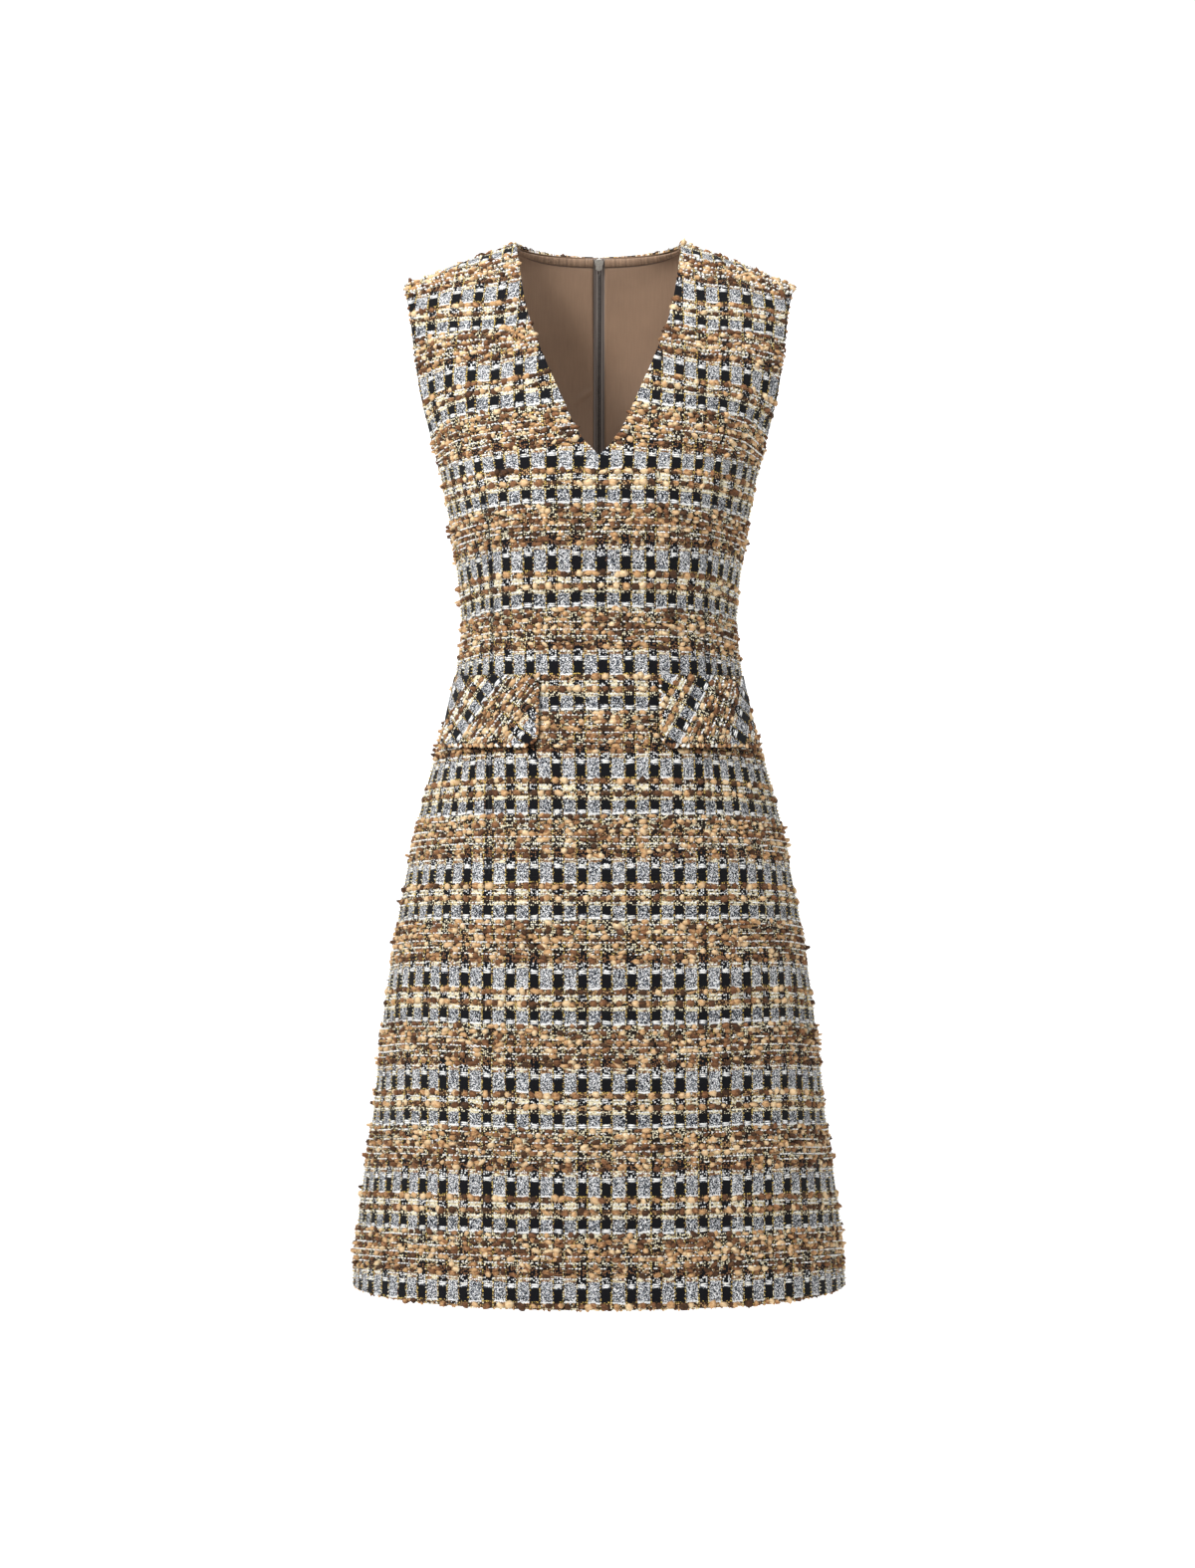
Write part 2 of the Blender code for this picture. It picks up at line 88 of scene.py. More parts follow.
def read_table(at: Array | float, keys: Array, values: Array) -> Array:
    """Read a table on smooth curves through its rows that never overshoot.

    Args:
        at: Places to read, one number or an array of them.
        keys: The rows' places, rising.
        values: The rows, one for each key.

    Returns:
        One row for each place, or a single row for a single place.
    """
    keys, values = np.asarray(keys, float), np.asarray(values, float)
    places = np.clip(np.atleast_1d(np.asarray(at, float)), keys[0], keys[-1])
    step = np.diff(keys)[:, None]
    secant = np.diff(values, axis=0) / step
    before, after = secant[:-1], secant[1:]
    same_way = before * after > 0.0
    slope = np.empty_like(values)
    slope[0], slope[-1] = secant[0], secant[-1]
    slope[1:-1] = np.where(same_way, 2.0 * before * after / np.where(same_way, before + after, 1.0), 0.0)
    low = np.clip(np.searchsorted(keys, places, side="right") - 1, 0, len(keys) - 2)
    share = ((places - keys[low]) / step[low, 0])[:, None]
    read = hermite(share, values[low], step[low] * slope[low], values[low + 1], step[low] * slope[low + 1])
    return read if np.ndim(at) else read[0]


def line_lengths(line: Array) -> Array:
    """Lengths along a line of points, from its first point."""
    return np.concatenate([[0.0], np.cumsum(np.linalg.norm(np.diff(line, axis=0), axis=1))])


def read_rows(rows: Array, keys: Array, places: Array) -> Array:
    """Read rows in straight steps at places along rising keys."""
    return np.stack([np.interp(places, keys, column) for column in rows.T], axis=1)


def resampled(line: Array, places: Array) -> Array:
    """Place points at lengths along a line."""
    return read_rows(line, line_lengths(line), places)


def evenly(line: Array, count: int) -> Array:
    """Place points evenly along a line."""
    return resampled(line, np.linspace(0.0, line_lengths(line)[-1], count))


def unit(vectors: Array) -> Array:
    """Scale vectors on the last axis to a length of 1."""
    return vectors / np.maximum(np.linalg.norm(vectors, axis=-1, keepdims=True), 1e-9)


def configure(target: object, **values: object) -> None:
    """Set several properties of one thing."""
    for name, value in values.items():
        setattr(target, name, value)


# --- the form of the dress -----------------------------------------------------------------------

# One row for each level below the underarm: z, half width, front depth, back depth, squareness
SECTIONS = (
    (-928.0, 219.5, 153.0, 150.0, 2.15),
    (-860.0, 213.0, 148.0, 146.0, 2.15),
    (-780.0, 201.5, 142.0, 142.0, 2.15),
    (-700.0, 193.0, 136.0, 137.0, 2.20),
    (-620.0, 181.5, 130.0, 132.0, 2.20),
    (-560.0, 170.5, 124.0, 128.0, 2.20),
    (-505.0, 158.5, 117.0, 117.0, 2.20),
    (-450.0, 143.0, 109.0, 101.0, 2.20),
    (-400.0, 130.0, 102.5, 87.0, 2.20),
    (-345.0, 122.0, 99.0, 80.0, 2.25),
    (-300.0, 125.3, 110.5, 84.0, 2.30),
    (-270.0, 129.8, 122.0, 88.0, 2.35),
    (-238.0, 135.0, 129.5, 91.8, 2.40),
)
# Above the underarm: inner point, outer point, turn in degrees, squareness
FRONT_YOKE = (
    (0.0, -127.0, -204.0, 141.5, 0.0, -206.0, 90.0, 2.40),
    (2.6, -126.3, -201.0, 141.7, -6.0, -205.4, 86.0, 2.40),
    (13.6, -122.5, -189.0, 143.0, -18.0, -200.3, 79.0, 2.35),
    (21.3, -118.0, -176.0, 145.2, -27.5, -191.7, 74.0, 2.30),
    (32.5, -108.5, -150.0, 150.0, -38.0, -172.0, 68.0, 2.20),
    (46.0, -92.5, -118.0, 156.5, -43.0, -145.0, 62.0, 2.10),
    (54.0, -80.5, -97.0, 161.0, -42.5, -119.0, 58.0, 2.00),
    (61.5, -65.5, -74.0, 164.5, -38.0, -93.0, 54.0, 2.00),
    (66.8, -51.0, -49.0, 167.2, -31.0, -70.0, 50.0, 2.00),
    (70.4, -38.0, -25.5, 170.3, -24.0, -55.0, 46.0, 2.00),
    (72.7, -26.0, -10.8, 172.5, -17.0, -45.5, 42.0, 2.00),
    (73.7, -16.5, -3.9, 173.6, -11.0, -40.8, 38.0, 2.00),
    (74.0, -8.0, -0.85, 174.0, -5.5, -38.7, 34.0, 2.00),
    (74.0, -3.0, -0.1, 174.0, -2.5, -38.1, 32.0, 2.00),
    (74.0, 0.0, 0.0, 174.0, 0.0, -38.0, 30.0, 2.00),
)
BACK_YOKE = (
    (0.0, 93.0, -204.0, 141.5, 0.0, -206.0, 90.0, 2.40),
    (0.0, 93.5, -192.0, 142.1, 11.0, -203.8, 83.0, 2.35),
    (0.0, 93.8, -178.0, 144.0, 21.5, -197.0, 78.0, 2.30),
    (0.0, 93.3, -156.0, 148.3, 33.0, -180.5, 72.0, 2.25),
    (0.0, 91.0, -132.0, 155.0, 39.5, -152.0, 66.0, 2.20),
    (0.0, 86.8, -108.0, 160.6, 40.0, -122.0, 60.0, 2.10),
    (0.0, 79.8, -84.0, 164.5, 36.5, -94.0, 56.0, 2.00),
    (0.0, 69.5, -60.0, 167.2, 30.0, -71.0, 52.0, 2.00),
)


@dataclass(frozen=True)
class DressForm:
    """The outer face of the dress, as level lines from an inner edge out to a seam or an armhole.

    A line's distance is its height above the hem up to the underarm, and the length of cloth above it.
    """

    hem_z: float = -928.0
    neck_half: float = 74.0
    shoulder_half: float = 174.0
    shoulder_drop: float = 38.0
    back_neck_drop: float = 6.0
    back_neck_depth: float = 38.0
    back_round: float = 62.0
    bust_x: float = 84.0
    bust_z: float = -240.0
    bust_rise: float = 5.0
    bust_spread: float = 52.0
    fine: int = 72
    front_stations: Array = field(init=False, repr=False)
    back_stations: Array = field(init=False, repr=False)
    front_keys: Array = field(init=False, repr=False)
    back_keys: Array = field(init=False, repr=False)

    def __post_init__(self) -> None:
        """Set out both halves' stations and their distances."""
        for name, side, yoke in (("front", -1, FRONT_YOKE), ("back", 1, BACK_YOKE)):
            rows = [(0.0, side * (front if side < 0 else back), z, half, 0.0, z, 90.0, square)
                    for z, half, front, back, square in SECTIONS]
            table = np.array(rows + list(yoke))
            heights = table[: len(SECTIONS) + 1, 5] - self.hem_z
            middle = (table[len(SECTIONS):, 0:3] + table[len(SECTIONS):, 3:6]) / 2.0
            keys = np.concatenate([heights, heights[-1] + line_lengths(middle)[1:]])
            object.__setattr__(self, f"{name}_stations", table)
            object.__setattr__(self, f"{name}_keys", keys)

    @property
    def underarm(self) -> float:
        """The distance of the underarm and the V point."""
        return float(self.front_keys[len(SECTIONS)])

    @property
    def front_end(self) -> float:
        """The distance of the front's shoulder seam."""
        return float(self.front_keys[-1])

    @property
    def back_end(self) -> float:
        """The distance of the back's neckline and shoulder seam."""
        return float(self.back_keys[-1] + self.back_round)

    def level_line(self, station: Array) -> Array:
        """Draw one station as a fine curve from its inner point to its outer one."""
        inner, outer, turn, square = station[0:3], station[3:6], math.radians(station[6]), station[7]
        angle = np.linspace(0.0, turn, self.fine)
        power = 2.0 / square
        across = (np.sin(angle) / math.sin(turn)) ** power
        back = 1.0 - np.maximum(np.cos(angle), 0.0) ** power
        back /= 1.0 - max(math.cos(turn), 0.0) ** power
        return inner + (outer - inner) * np.stack([across, back, across], axis=1)

    def front_line(self, distance: float) -> Array:
        """The front's level line, pushed out over the bust."""
        line = self.level_line(read_table(distance, self.front_keys, self.front_stations))
        away = (line[:, 0] - self.bust_x) ** 2 + (line[:, 2] - self.bust_z) ** 2
        line[:, 1] -= self.bust_rise * np.exp(-away / self.bust_spread**2)
        return line

    def back_top_line(self) -> Array:
        """The back neckline from the centre to the shoulder top, then the shoulder seam."""
        neck = self.fine * 2 // 5
        angle = np.linspace(0.0, math.pi / 2.0, neck)
        depth, drop = self.back_neck_depth * np.cos(angle), self.back_neck_drop * np.cos(angle) ** 1.5
        curve = np.stack([self.neck_half * np.sin(angle), depth, -drop], axis=1)
        along = np.linspace(0.0, 1.0, self.fine - neck + 1)[1:, None]
        top = np.array([self.neck_half, 0.0, 0.0])
        tip = np.array([self.shoulder_half, 0.0, -self.shoulder_drop])
        return np.concatenate([curve, top + (tip - top) * along])

    def shoulder_top_share(self) -> float:
        """Where the shoulder top lies along the back's top line."""
        line = self.back_top_line()
        lengths = np.linalg.norm(np.diff(line, axis=0), axis=1)
        return float(lengths[line[1:, 0] < self.neck_half + 0.001].sum() / lengths.sum())

    def back_line(self, distance: float) -> Array:
        """The back's level line. Past the last station it rounds over to the shoulder."""
        last = float(self.back_keys[-1])
        if distance <= last:
            return self.level_line(read_table(distance, self.back_keys, self.back_stations))
        start = evenly(self.level_line(self.back_stations[-1]), self.fine)
        below = evenly(self.level_line(read_table(last - 1.0, self.back_keys, self.back_stations)), self.fine)
        top = evenly(self.back_top_line(), self.fine)
        reach = np.linalg.norm(top - start, axis=1)[:, None]
        level = np.clip(top[:, 0] / self.neck_half, 0.0, 1.0)[:, None] ** 2
        arrive = (1.0 - level) * np.array([[0.0, -0.5, 0.86]]) + level * np.array([[0.0, -1.0, 0.0]])
        share = np.full((1, 1), (distance - last) / self.back_round)
        return hermite(share, start, (start - below) * reach, top, arrive * reach)


FORM = DressForm()


# --- where the weave lies on the cloth -----------------------------------------------------------

COLUMN_REPEAT, COLUMN_CENTRE = 20.7, 6.7
CHECK_REPEAT = 90.3
# How far the columns drift from the lengths along the front, by distance and length from the centre
DRIFT_LENGTHS = (-300, -180, -140, -115, -90, -50, 0, 50, 90, 115, 140, 180, 300)
DRIFT = (
    (0, (9, 0.5, -1, 0, -2, -1, 0.7, -0.5, 0, 0, 1, -0.5, -9)),
    (276, (10, 0, 1.5, 1, 0.5, 0, 0.2, -0.7, -0.5, -1, -1.5, 0, -10)),
    (366, (6, -1, 0, 0.5, 0.5, 0.2, 0.3, -0.3, -0.5, -0.5, 0, 1, -6)),
    (545, (-14, -14, -14, -4, 4.8, 4.8, 3.1, 0.7, 4, 14, 22, 22, 22)),
    (604, (-10, -10, -12, -8, 8, 6.8, 5.2, 3.7, 8, 16, 22, 22, 22)),
    (634, (-2, -2, -3, -2, 7, 6, 4.8, 3.6, 3, 10.5, 13, 13, 13)),
    (691, (12, 12, 12, 10, 8.4, 6.8, 4.9, 4.3, 3.3, 4, 3, 3, 3)),
    (717, (15, 15.5, 17, 15, 11.8, 6.8, 1.9, 2.8, 1.3, 1.5, 1, 0, 0)),
    (778, (18, 18.5, 19.7, 18.9, 15.9, 12, 3, -1.5, -1, -1.8, -1.4, 4, 4)),
    (805, (18, 18, 20.3, 17.5, 15, 14, 5, -2.5, -1, -2.9, -4, -4.2, -4)),
    (860, (13, 13.4, 12.5, 11.3, 10.7, 11, 8, 0, -0.5, -0.4, -1.8, -2, -2)),
    (890, (13, 13.5, 10.2, 9.3, 8.9, 8.8, 8, -0.8, 0.2, -0.4, -1.5, -2.6, -3)),
    (945, (6, 6, 6, 5, 2, 1.8, 0, 0, 4, 4.8, 4, 2, 2)),
)
# How far the checks lie above the distance, by distance and length from the centre
LIFT_LENGTHS = (0, 50, 90, 115, 140, 160, 180, 230, 300)
LIFT = (
    (0, (-13.1, -12.9, -12.3, -11.5, -11, -10.5, -9.8, -6.5, 4)),
    (101, (-10.9, -10.9, -10.7, -10.4, -9.8, -9, -8, -3, 4)),
    (277, (-5.8, -5.6, -5.5, -5.8, -5.8, -5.2, -4.2, 1.5, 5)),
    (366, (-5.3, -5.3, -5, -4.6, -3.7, -2.8, -1.5, 2.5, 5)),
    (545, (-3.5, -3.6, -3.5, -2, 1, 2.7, 4.5, 5, 5)),
    (604, (-2.5, -2.2, -0.3, 1.8, 5.5, 6.5, 8, 8, 8)),
    (634, (-2.1, -2, -1.3, 1, 3.5, 5.5, 8, 8, 8)),
    (691, (1.1, 1.5, 3, 5.5, 7.5, 8, 8, 9, 9)),
    (717, (5, 5.2, 5.6, 7, 8.5, 9, 9, 9, 9)),
    (778, (6, 6.4, 2.1, -0.9, -0.8, 3, 8, 12, 12)),
    (806, (11, 11.3, 9, 2.6, 0.6, 1.5, 3, 3, 3)),
    (858, (18, 18, 17.8, 13, 8.5, 7.3, 6.5, 6, 6)),
    (886, (22, 22, 21.5, 16, 11.5, 9.5, 7, 6, 6)),
    (923, (41, 41, 39, 31, 24, 20, 17, 17, 17)),
    (945, (50, 50, 47, 39, 31, 27, 24, 22, 22)),
)
# The front's long darts, from the hip up to the armhole: distance, length from the centre
DART = ((365, 97), (381, 99), (638, 99), (688, 104), (706, 116), (716, 130), (724, 150), (731, 180),
        (737, 214))


def chart_value(table: tuple, lengths: tuple, distance: float, across: Array) -> Array:
    """Read a table of distances and values at a level line's signed lengths from the centre."""
    row = read_table(distance, [entry[0] for entry in table], [entry[1] for entry in table])
    return read_table(across, lengths, row[:, None])[:, 0]


def dart_gap(distance: float, across: Array) -> Array:
    """Signed lengths from the nearer dart, far from the line where there is no dart."""
    keys, places = zip(*DART)
    if not keys[0] <= distance <= keys[-1]:
        return np.full_like(across, FAR)
    place = np.interp(distance, keys, places)
    slope = (np.interp(distance + 1, keys, places) - np.interp(distance - 1, keys, places)) / 2.0
    return (np.abs(across) - place) / math.hypot(1.0, slope)


@dataclass
class Lattice:
    """A fine grid of a cloth's outer face with the weave's place at each point.

    Rows run up and columns out. `weave` holds the place across the columns, the place up the checks and
    the signed distance from a seam.
    """

    points: Array
    weave: Array
    flipped: bool = False
    normals: Array = field(init=False, repr=False)

    def __post_init__(self) -> None:
        """Work out the outward normals."""
        up, across = np.gradient(self.points, axis=0), np.gradient(self.points, axis=1)
        self.normals = unit(np.cross(across, up))
        if self.flipped:
            self.normals = -self.normals

    def along_pick(self, place: float) -> Array | None:
        """Trace one weft pick across the lattice.

        Args:
            place: The pick's place up the checks.

        Returns:
            Rows of point, normal and place across the columns, or None where the pick misses the cloth.
        """
        rising = np.maximum.accumulate(self.weave[:, :, 1], axis=0)
        found = []
        for column in range(rising.shape[1]):
            heights = rising[:, column]
            if not heights[0] <= place <= heights[-1]:
                continue
            upper = int(np.clip(np.searchsorted(heights, place), 1, len(heights) - 1))
            share = (place - heights[upper - 1]) / max(heights[upper] - heights[upper - 1], 1e-6)
            grids = (self.points, self.normals, self.weave)
            below, above = (np.concatenate([grid[row, column] for grid in grids]) for row in (upper - 1, upper))
            found.append(below + (above - below) * min(max(share, 0.0), 1.0))
        return np.array(found) if len(found) > 1 else None


# The gap that is welded, in metres, and the angle in degrees from which an edge is folded round
WELD = 0.00002
SHARP_EDGE = 50.0


def faces_of(rows: int, columns: int, flipped: bool) -> Array:
    """Number the quads of a grid so that they face outwards."""
    first = (np.arange(rows - 1)[:, None] * columns + np.arange(columns - 1)).ravel()
    quads = np.stack([first, first + 1, first + columns + 1, first + columns], axis=1)
    return quads[:, ::-1] if flipped else quads


def mesh_piece(name: str, points: Array, faces: Array, weave: Array,
               tone: Array | None = None) -> Piece:
    """Make a piece from arrays.

    Args:
        name: The piece's name.
        points: Points in millimetres.
        faces: Faces, all with the same number of corners.
        weave: For each point, its place in the weave and its distance from a seam.
        tone: For each point, its yarn's tone and its height in the bead, from 0 to 1; the height paints shade
            at a bead's root and a highlight on its crown.

    Returns:
        The object, linked to the scene.
    """
    sides = faces.shape[1]
    mesh = bpy.data.meshes.new(name)
    mesh.vertices.add(len(points))
    mesh.vertices.foreach_set("co", (points * MM).astype(np.float32).ravel())
    mesh.loops.add(faces.size)
    mesh.loops.foreach_set("vertex_index", faces.astype(np.int32).ravel())
    mesh.polygons.add(len(faces))
    mesh.polygons.foreach_set("loop_start", (np.arange(len(faces)) * sides).astype(np.int32))
    mesh.update(calc_edges=True)
    corners = faces.ravel()
    extra = np.full((len(points), 2), 0.5) if tone is None else tone
    seam = weave[:, 2] if weave.shape[1] > 2 else np.full(len(points), FAR)
    layers = {"weave": weave[:, :2] * MM, "yarn": extra, "seam": np.stack([seam, seam], axis=1) * MM}
    for layer, values in layers.items():
        mesh.uv_layers.new(name=layer).uv.foreach_set("vector", values[corners].astype(np.float32).ravel())
    mesh.validate()
    mesh.shade_smooth()
    piece = bpy.data.objects.new(name, mesh)
    bpy.context.scene.collection.objects.link(piece)
    return piece


def shell(name: str, lattices: list[Lattice], thickness: float, rounded: float, outside: Material,
          inside: Material) -> Piece:
    """Make a cloth wall with rounded edges from the lattices of its outer face.

    Args:
        name: The piece's name.
        lattices: The parts of the outer face, which are welded where they meet.
        thickness: The wall's thickness, inwards.
        rounded: Radius of the folded edges, 0 for none.
        outside: The finish of the outer face and the edges.
        inside: The finish of the inner face.

    Returns:
        The finished piece.
    """
    points, faces, weave, start = [], [], [], 0
    for part in lattices:
        rows, columns = part.points.shape[:2]
        points.append(part.points.reshape(-1, 3))
        weave.append(part.weave.reshape(-1, 3))
        faces.append(faces_of(rows, columns, part.flipped) + start)
        start += rows * columns
    piece = mesh_piece(name, np.concatenate(points), np.concatenate(faces), np.concatenate(weave))
    bm = bmesh.new()
    bm.from_mesh(piece.data)
    bmesh.ops.remove_doubles(bm, verts=bm.verts, dist=WELD)
    bm.to_mesh(piece.data)
    bm.free()
    for finish in (outside, inside):
        piece.data.materials.append(finish)
    configure(piece.modifiers.new("wall", "SOLIDIFY"), thickness=thickness * MM, offset=-1.0,
              use_even_offset=True, use_quality_normals=True, material_offset=1, material_offset_rim=0)
    if rounded:
        configure(piece.modifiers.new("folded_edge", "BEVEL"), width=rounded * MM, segments=3,
                  limit_method="ANGLE", angle_limit=math.radians(SHARP_EDGE))
    return piece


# --- yarn that stands off the cloth --------------------------------------------------------------


@dataclass(frozen=True)
class Bead:
    """The beads that one yarn is made of.

    Attributes:
        rings: Rings of points below the crown.
        corners: Points in each ring.
        spans: Least and greatest half length, half width and height.
        sink: How deep a bead's widest ring lies in the cloth, as a share of its height.
    """

    rings: int
    corners: int
    spans: tuple[tuple[float, float], ...] = ()
    sink: float = 0.1

    def draw(self) -> tuple[Array, Array]:
        """Draw the upper part of a rounded bead of half length and height 1, as points and triangles."""
        points, faces = [(0.0, 0.0, 1.0)], []
        for ring in range(1, self.rings + 1):
            drop = math.radians(115.0 - 85.0 * (self.rings - ring) / max(self.rings - 1, 1))
            turn = math.pi / self.corners * (ring % 2)
            for corner in range(self.corners):
                angle = 2.0 * math.pi * corner / self.corners + turn
                reach = math.sin(drop)
                points.append((reach * math.cos(angle), reach * math.sin(angle), math.cos(drop)))
        for corner in range(self.corners):
            pair = np.array((corner, (corner + 1) % self.corners))
            faces.append((0, *(1 + pair)))
            for ring in range(1, self.rings):
                (a, b), (c, d) = 1 + (ring - 1) * self.corners + pair, 1 + ring * self.corners + pair
                faces += [(a, c, b), (b, c, d)] if ring % 2 else [(a, c, d), (a, d, b)]
        return np.array(points), np.array(faces)


class Yarn(Enum):
    """The yarns that stand off the weave."""

    BOUCLE = Bead(3, 6, ((2.5, 5.0), (1.7, 3.1), (1.2, 2.9)), 0.15)
    CREAM = Bead(2, 5, ((1.5, 2.5), (0.8, 1.2), (1.0, 2.0)))
    FLOAT = Bead(3, 6, ((3.3, 4.2), (0.65, 0.9), (0.7, 1.1)))
    WARP = Bead(1, 5, ((0.65, 1.05), (0.8, 1.3), (1.5, 2.6)))
    STRAY = Bead(3, 6, ((1.2, 2.6), (0.9, 1.6), (0.9, 2.2)), 0.2)


# Where picks of each yarn lie in one check, in millimetres down from the middle of the wide squares
PICK_TONE = {9.6: 0.42, 20.0: 0.38, 40.4: 0.32, 44.7: 0.48, 48.8: 0.35, 53.3: 0.51, 55.9: 0.35, 60.6: 0.50,
             65.8: 0.34, 70.0: 0.44, 73.6: 0.30}
CREAM_PICKS = (13.2, 16.4, 24.0, 42.6, 50.9, 57.8, 63.6, 68.0, 77.0)
FLOAT_PICKS = (36.0, 82.9)
# How full of gaps each cream pick among the brown ones is
SPARSE_CREAM = {42.6: -0.2, 50.9: -0.3, 57.8: -1.5, 63.6: -0.8, 68.0: 0.1}
LONE_ABOVE = 30.0  # bouclé picks above this lie alone between cream ones
BROWN_ROWS = (38.0, 75.0)  # where the picks are massed into brown rows
WARP_OFFSET = 4.6  # from the middle of a black column to the gold warp beside it
WARP_STEP = 3.2  # up the warp from one stitch to the next
LOOP_SHARE, LOOP_SCALE = 0.12, (0.85, 0.95, 2.2)  # bouclé beads that stand up as loops, and their shape
TONE_DRIFT = 0.10  # how far the tone wanders along a pick
CREAM_SHARE = 0.86  # cream beads that are laid, of those that could be
LUMPS = 0.12  # spread of a bead's unevenness, as a share of its size
ROOT_DEPTH = 1.2  # deepest that a bead goes into the cloth, so that none shows on the inside


@dataclass(frozen=True)
class PickStyle:
    """How one bouclé pick is laid: the beads' mean step, the spread of their tones and their shape."""

    step: float
    tone_spread: float
    shape: tuple[float, float, float]


LONE_PICK = PickStyle(6.6, 0.36, (1.0, 1.25, 1.1))
MASSED_PICK = PickStyle(6.8, 0.29, (1.0, 1.0, 1.0))


def waves(across: Array, *turns: tuple[float, float]) -> Array:
    """Add up waves along a pick, each given by its turn for a millimetre and its start."""
    return sum(np.sin(across * turn + start) for turn, start in turns)


def turned(local: Array, *axes: Array) -> Array:
    """Turn each bead's own points along its three axes."""
    return sum(local[:, :, index:index + 1] * axis[:, None] for index, axis in enumerate(axes))


def from_column(traced: Array) -> Array:
    """Distance of each traced place from the middle of the nearest black column."""
    across = (traced[:, 6] - COLUMN_CENTRE) / COLUMN_REPEAT
    return np.abs(across - np.round(across)) * COLUMN_REPEAT


@dataclass
class YarnBed:
    """Collects the beads of yarn that lie on one piece of cloth, then makes them one mesh.

    Attributes:
        seed: Start of the random numbers, so every run is the same.
        keep_off: Width beside a seam or dart that stays free of yarn.
    """

    seed: int
    keep_off: float = 1.6
    points: list[Array] = field(default_factory=list)
    faces: list[Array] = field(default_factory=list)
    weave: list[Array] = field(default_factory=list)
    tone: list[Array] = field(default_factory=list)
    count: int = 0

    def __post_init__(self) -> None:
        """Start the random numbers."""
        self.random = np.random.default_rng(self.seed)

    def sizes(self, yarn: Yarn, count: int) -> Array:
        """Draw the half length, half width and height of a number of beads."""
        return np.stack([self.random.uniform(*span, count) for span in yarn.value.spans], axis=1)

    def lay(self, yarn: Yarn, traced: Array, ahead: Array, size: Array, tone: Array,
            lean: Array, keep: Array | slice = slice(None)) -> None:
        """Lay beads of yarn at traced places.

        Args:
            yarn: The kind of yarn.
            traced: Rows of point, normal, weave place and seam distance.
            ahead: The weft's direction at each place.
            size: Half length, half width and height of each bead.
            tone: The tone of each bead, from 0 to 1.
            lean: The turn of each bead in the cloth, in radians.
            keep: The beads that are laid.
        """
        traced, ahead, size, tone, lean = (rows[keep] for rows in (traced, ahead, size, tone, lean))
        if not len(traced):
            return
        template, triangles = yarn.value.draw()
        normal = unit(traced[:, 3:6])
        ahead = unit(ahead - normal * (ahead * normal).sum(axis=1, keepdims=True))
        beside = np.cross(normal, ahead)
        cos, sin = np.cos(lean)[:, None], np.sin(lean)[:, None]
        along, over = ahead * cos + beside * sin, beside * cos - ahead * sin
        lumps = 1.0 + self.random.normal(0.0, LUMPS, (len(traced), len(template), 1))
        local = template[None] * lumps * size[:, None, :]
        local[:, :, 2] = np.maximum(local[:, :, 2] - yarn.value.sink * size[:, 2:3], -ROOT_DEPTH)
        placed = traced[:, None, :3] + turned(local, along, over, normal)
        places = traced[:, None, 6:8] + local[:, :, :2]
        seam = np.repeat(traced[:, None, 8:9], len(template), axis=1)
        start = self.count + np.arange(len(traced))[:, None, None] * len(template)
        self.points.append(placed.reshape(-1, 3))
        self.faces.append((triangles[None] + start).reshape(-1, 3))
        self.weave.append(np.concatenate([places, seam], axis=2).reshape(-1, 3))
        # each point's height in its bead, which the yarn's finish reads to paint shade at the root and a
        # highlight on the crown
        height = np.broadcast_to(template[None, :, 2:3] * 0.5 + 0.5, (len(traced), len(template), 1))
        tones = np.broadcast_to(tone[:, None, None], (len(traced), len(template), 1))
        self.tone.append(np.concatenate([tones, height], axis=2).reshape(-1, 2))
        self.count += len(traced) * len(template)

    def spaced(self, pick: Array, step: float, jitter: float) -> tuple[Array, Array]:
        """Space places along a pick.

        Args:
            pick: The traced pick.
            step: Mean distance between places.
            jitter: How far a place may move, as a share of the step.

        Returns:
            The places as rows of point, normal and weave place, and the weft's direction at each.
        """
        length = line_lengths(pick[:, :3])
        count = int(length[-1] / step)
        if count < 1:
            return pick[:0], pick[:0, :3]
        places = (np.arange(count) + 0.5 + self.random.uniform(-jitter, jitter, count)) * length[-1] / count
        found = read_rows(pick, length, places)
        ahead = read_rows(pick, length, places + 1.0)[:, :3] - read_rows(pick, length, places - 1.0)[:, :3]
        ahead = ahead * np.sign(pick[-1, 6] - pick[0, 6])
        free = np.abs(found[:, 8]) > self.keep_off
        return found[free], ahead[free]

    def cover(self, part: Lattice, density: float = 1.0) -> None:
        """Lay every pick of standing yarn over a lattice, at a share of the usual density."""
        low, high = part.weave[:, :, 1].min(), part.weave[:, :, 1].max()
        for check in range(int(low // CHECK_REPEAT), int(high // CHECK_REPEAT) + 2):
            for picks, lay in ((PICK_TONE, self.lay_boucle), (CREAM_PICKS, self.lay_cream),
                               (FLOAT_PICKS, self.lay_floats)):
                for down in picks:
                    lay(part, check * CHECK_REPEAT - down, down, density)

    def lay_boucle(self, part: Lattice, place: float, down: float, density: float) -> None:
        """Lay one pick of brown bouclé yarn, at its distance down from the middle of the wide squares."""
        pick = part.along_pick(place + self.random.uniform(-0.4, 0.4))
        if pick is None:
            return
        style = LONE_PICK if down < LONE_ABOVE else MASSED_PICK
        found, ahead = self.spaced(pick, style.step / density, 0.42)
        count = len(found)
        drift = waves(found[:, 6], (0.11, place * 0.37), (0.043, self.seed - place * 0.21))
        tone = PICK_TONE[down] + TONE_DRIFT * drift + self.random.normal(0.0, style.tone_spread, count)
        size = self.sizes(Yarn.BOUCLE, count)
        size[self.random.uniform(0.0, 1.0, count) < LOOP_SHARE] *= LOOP_SCALE
        size *= style.shape
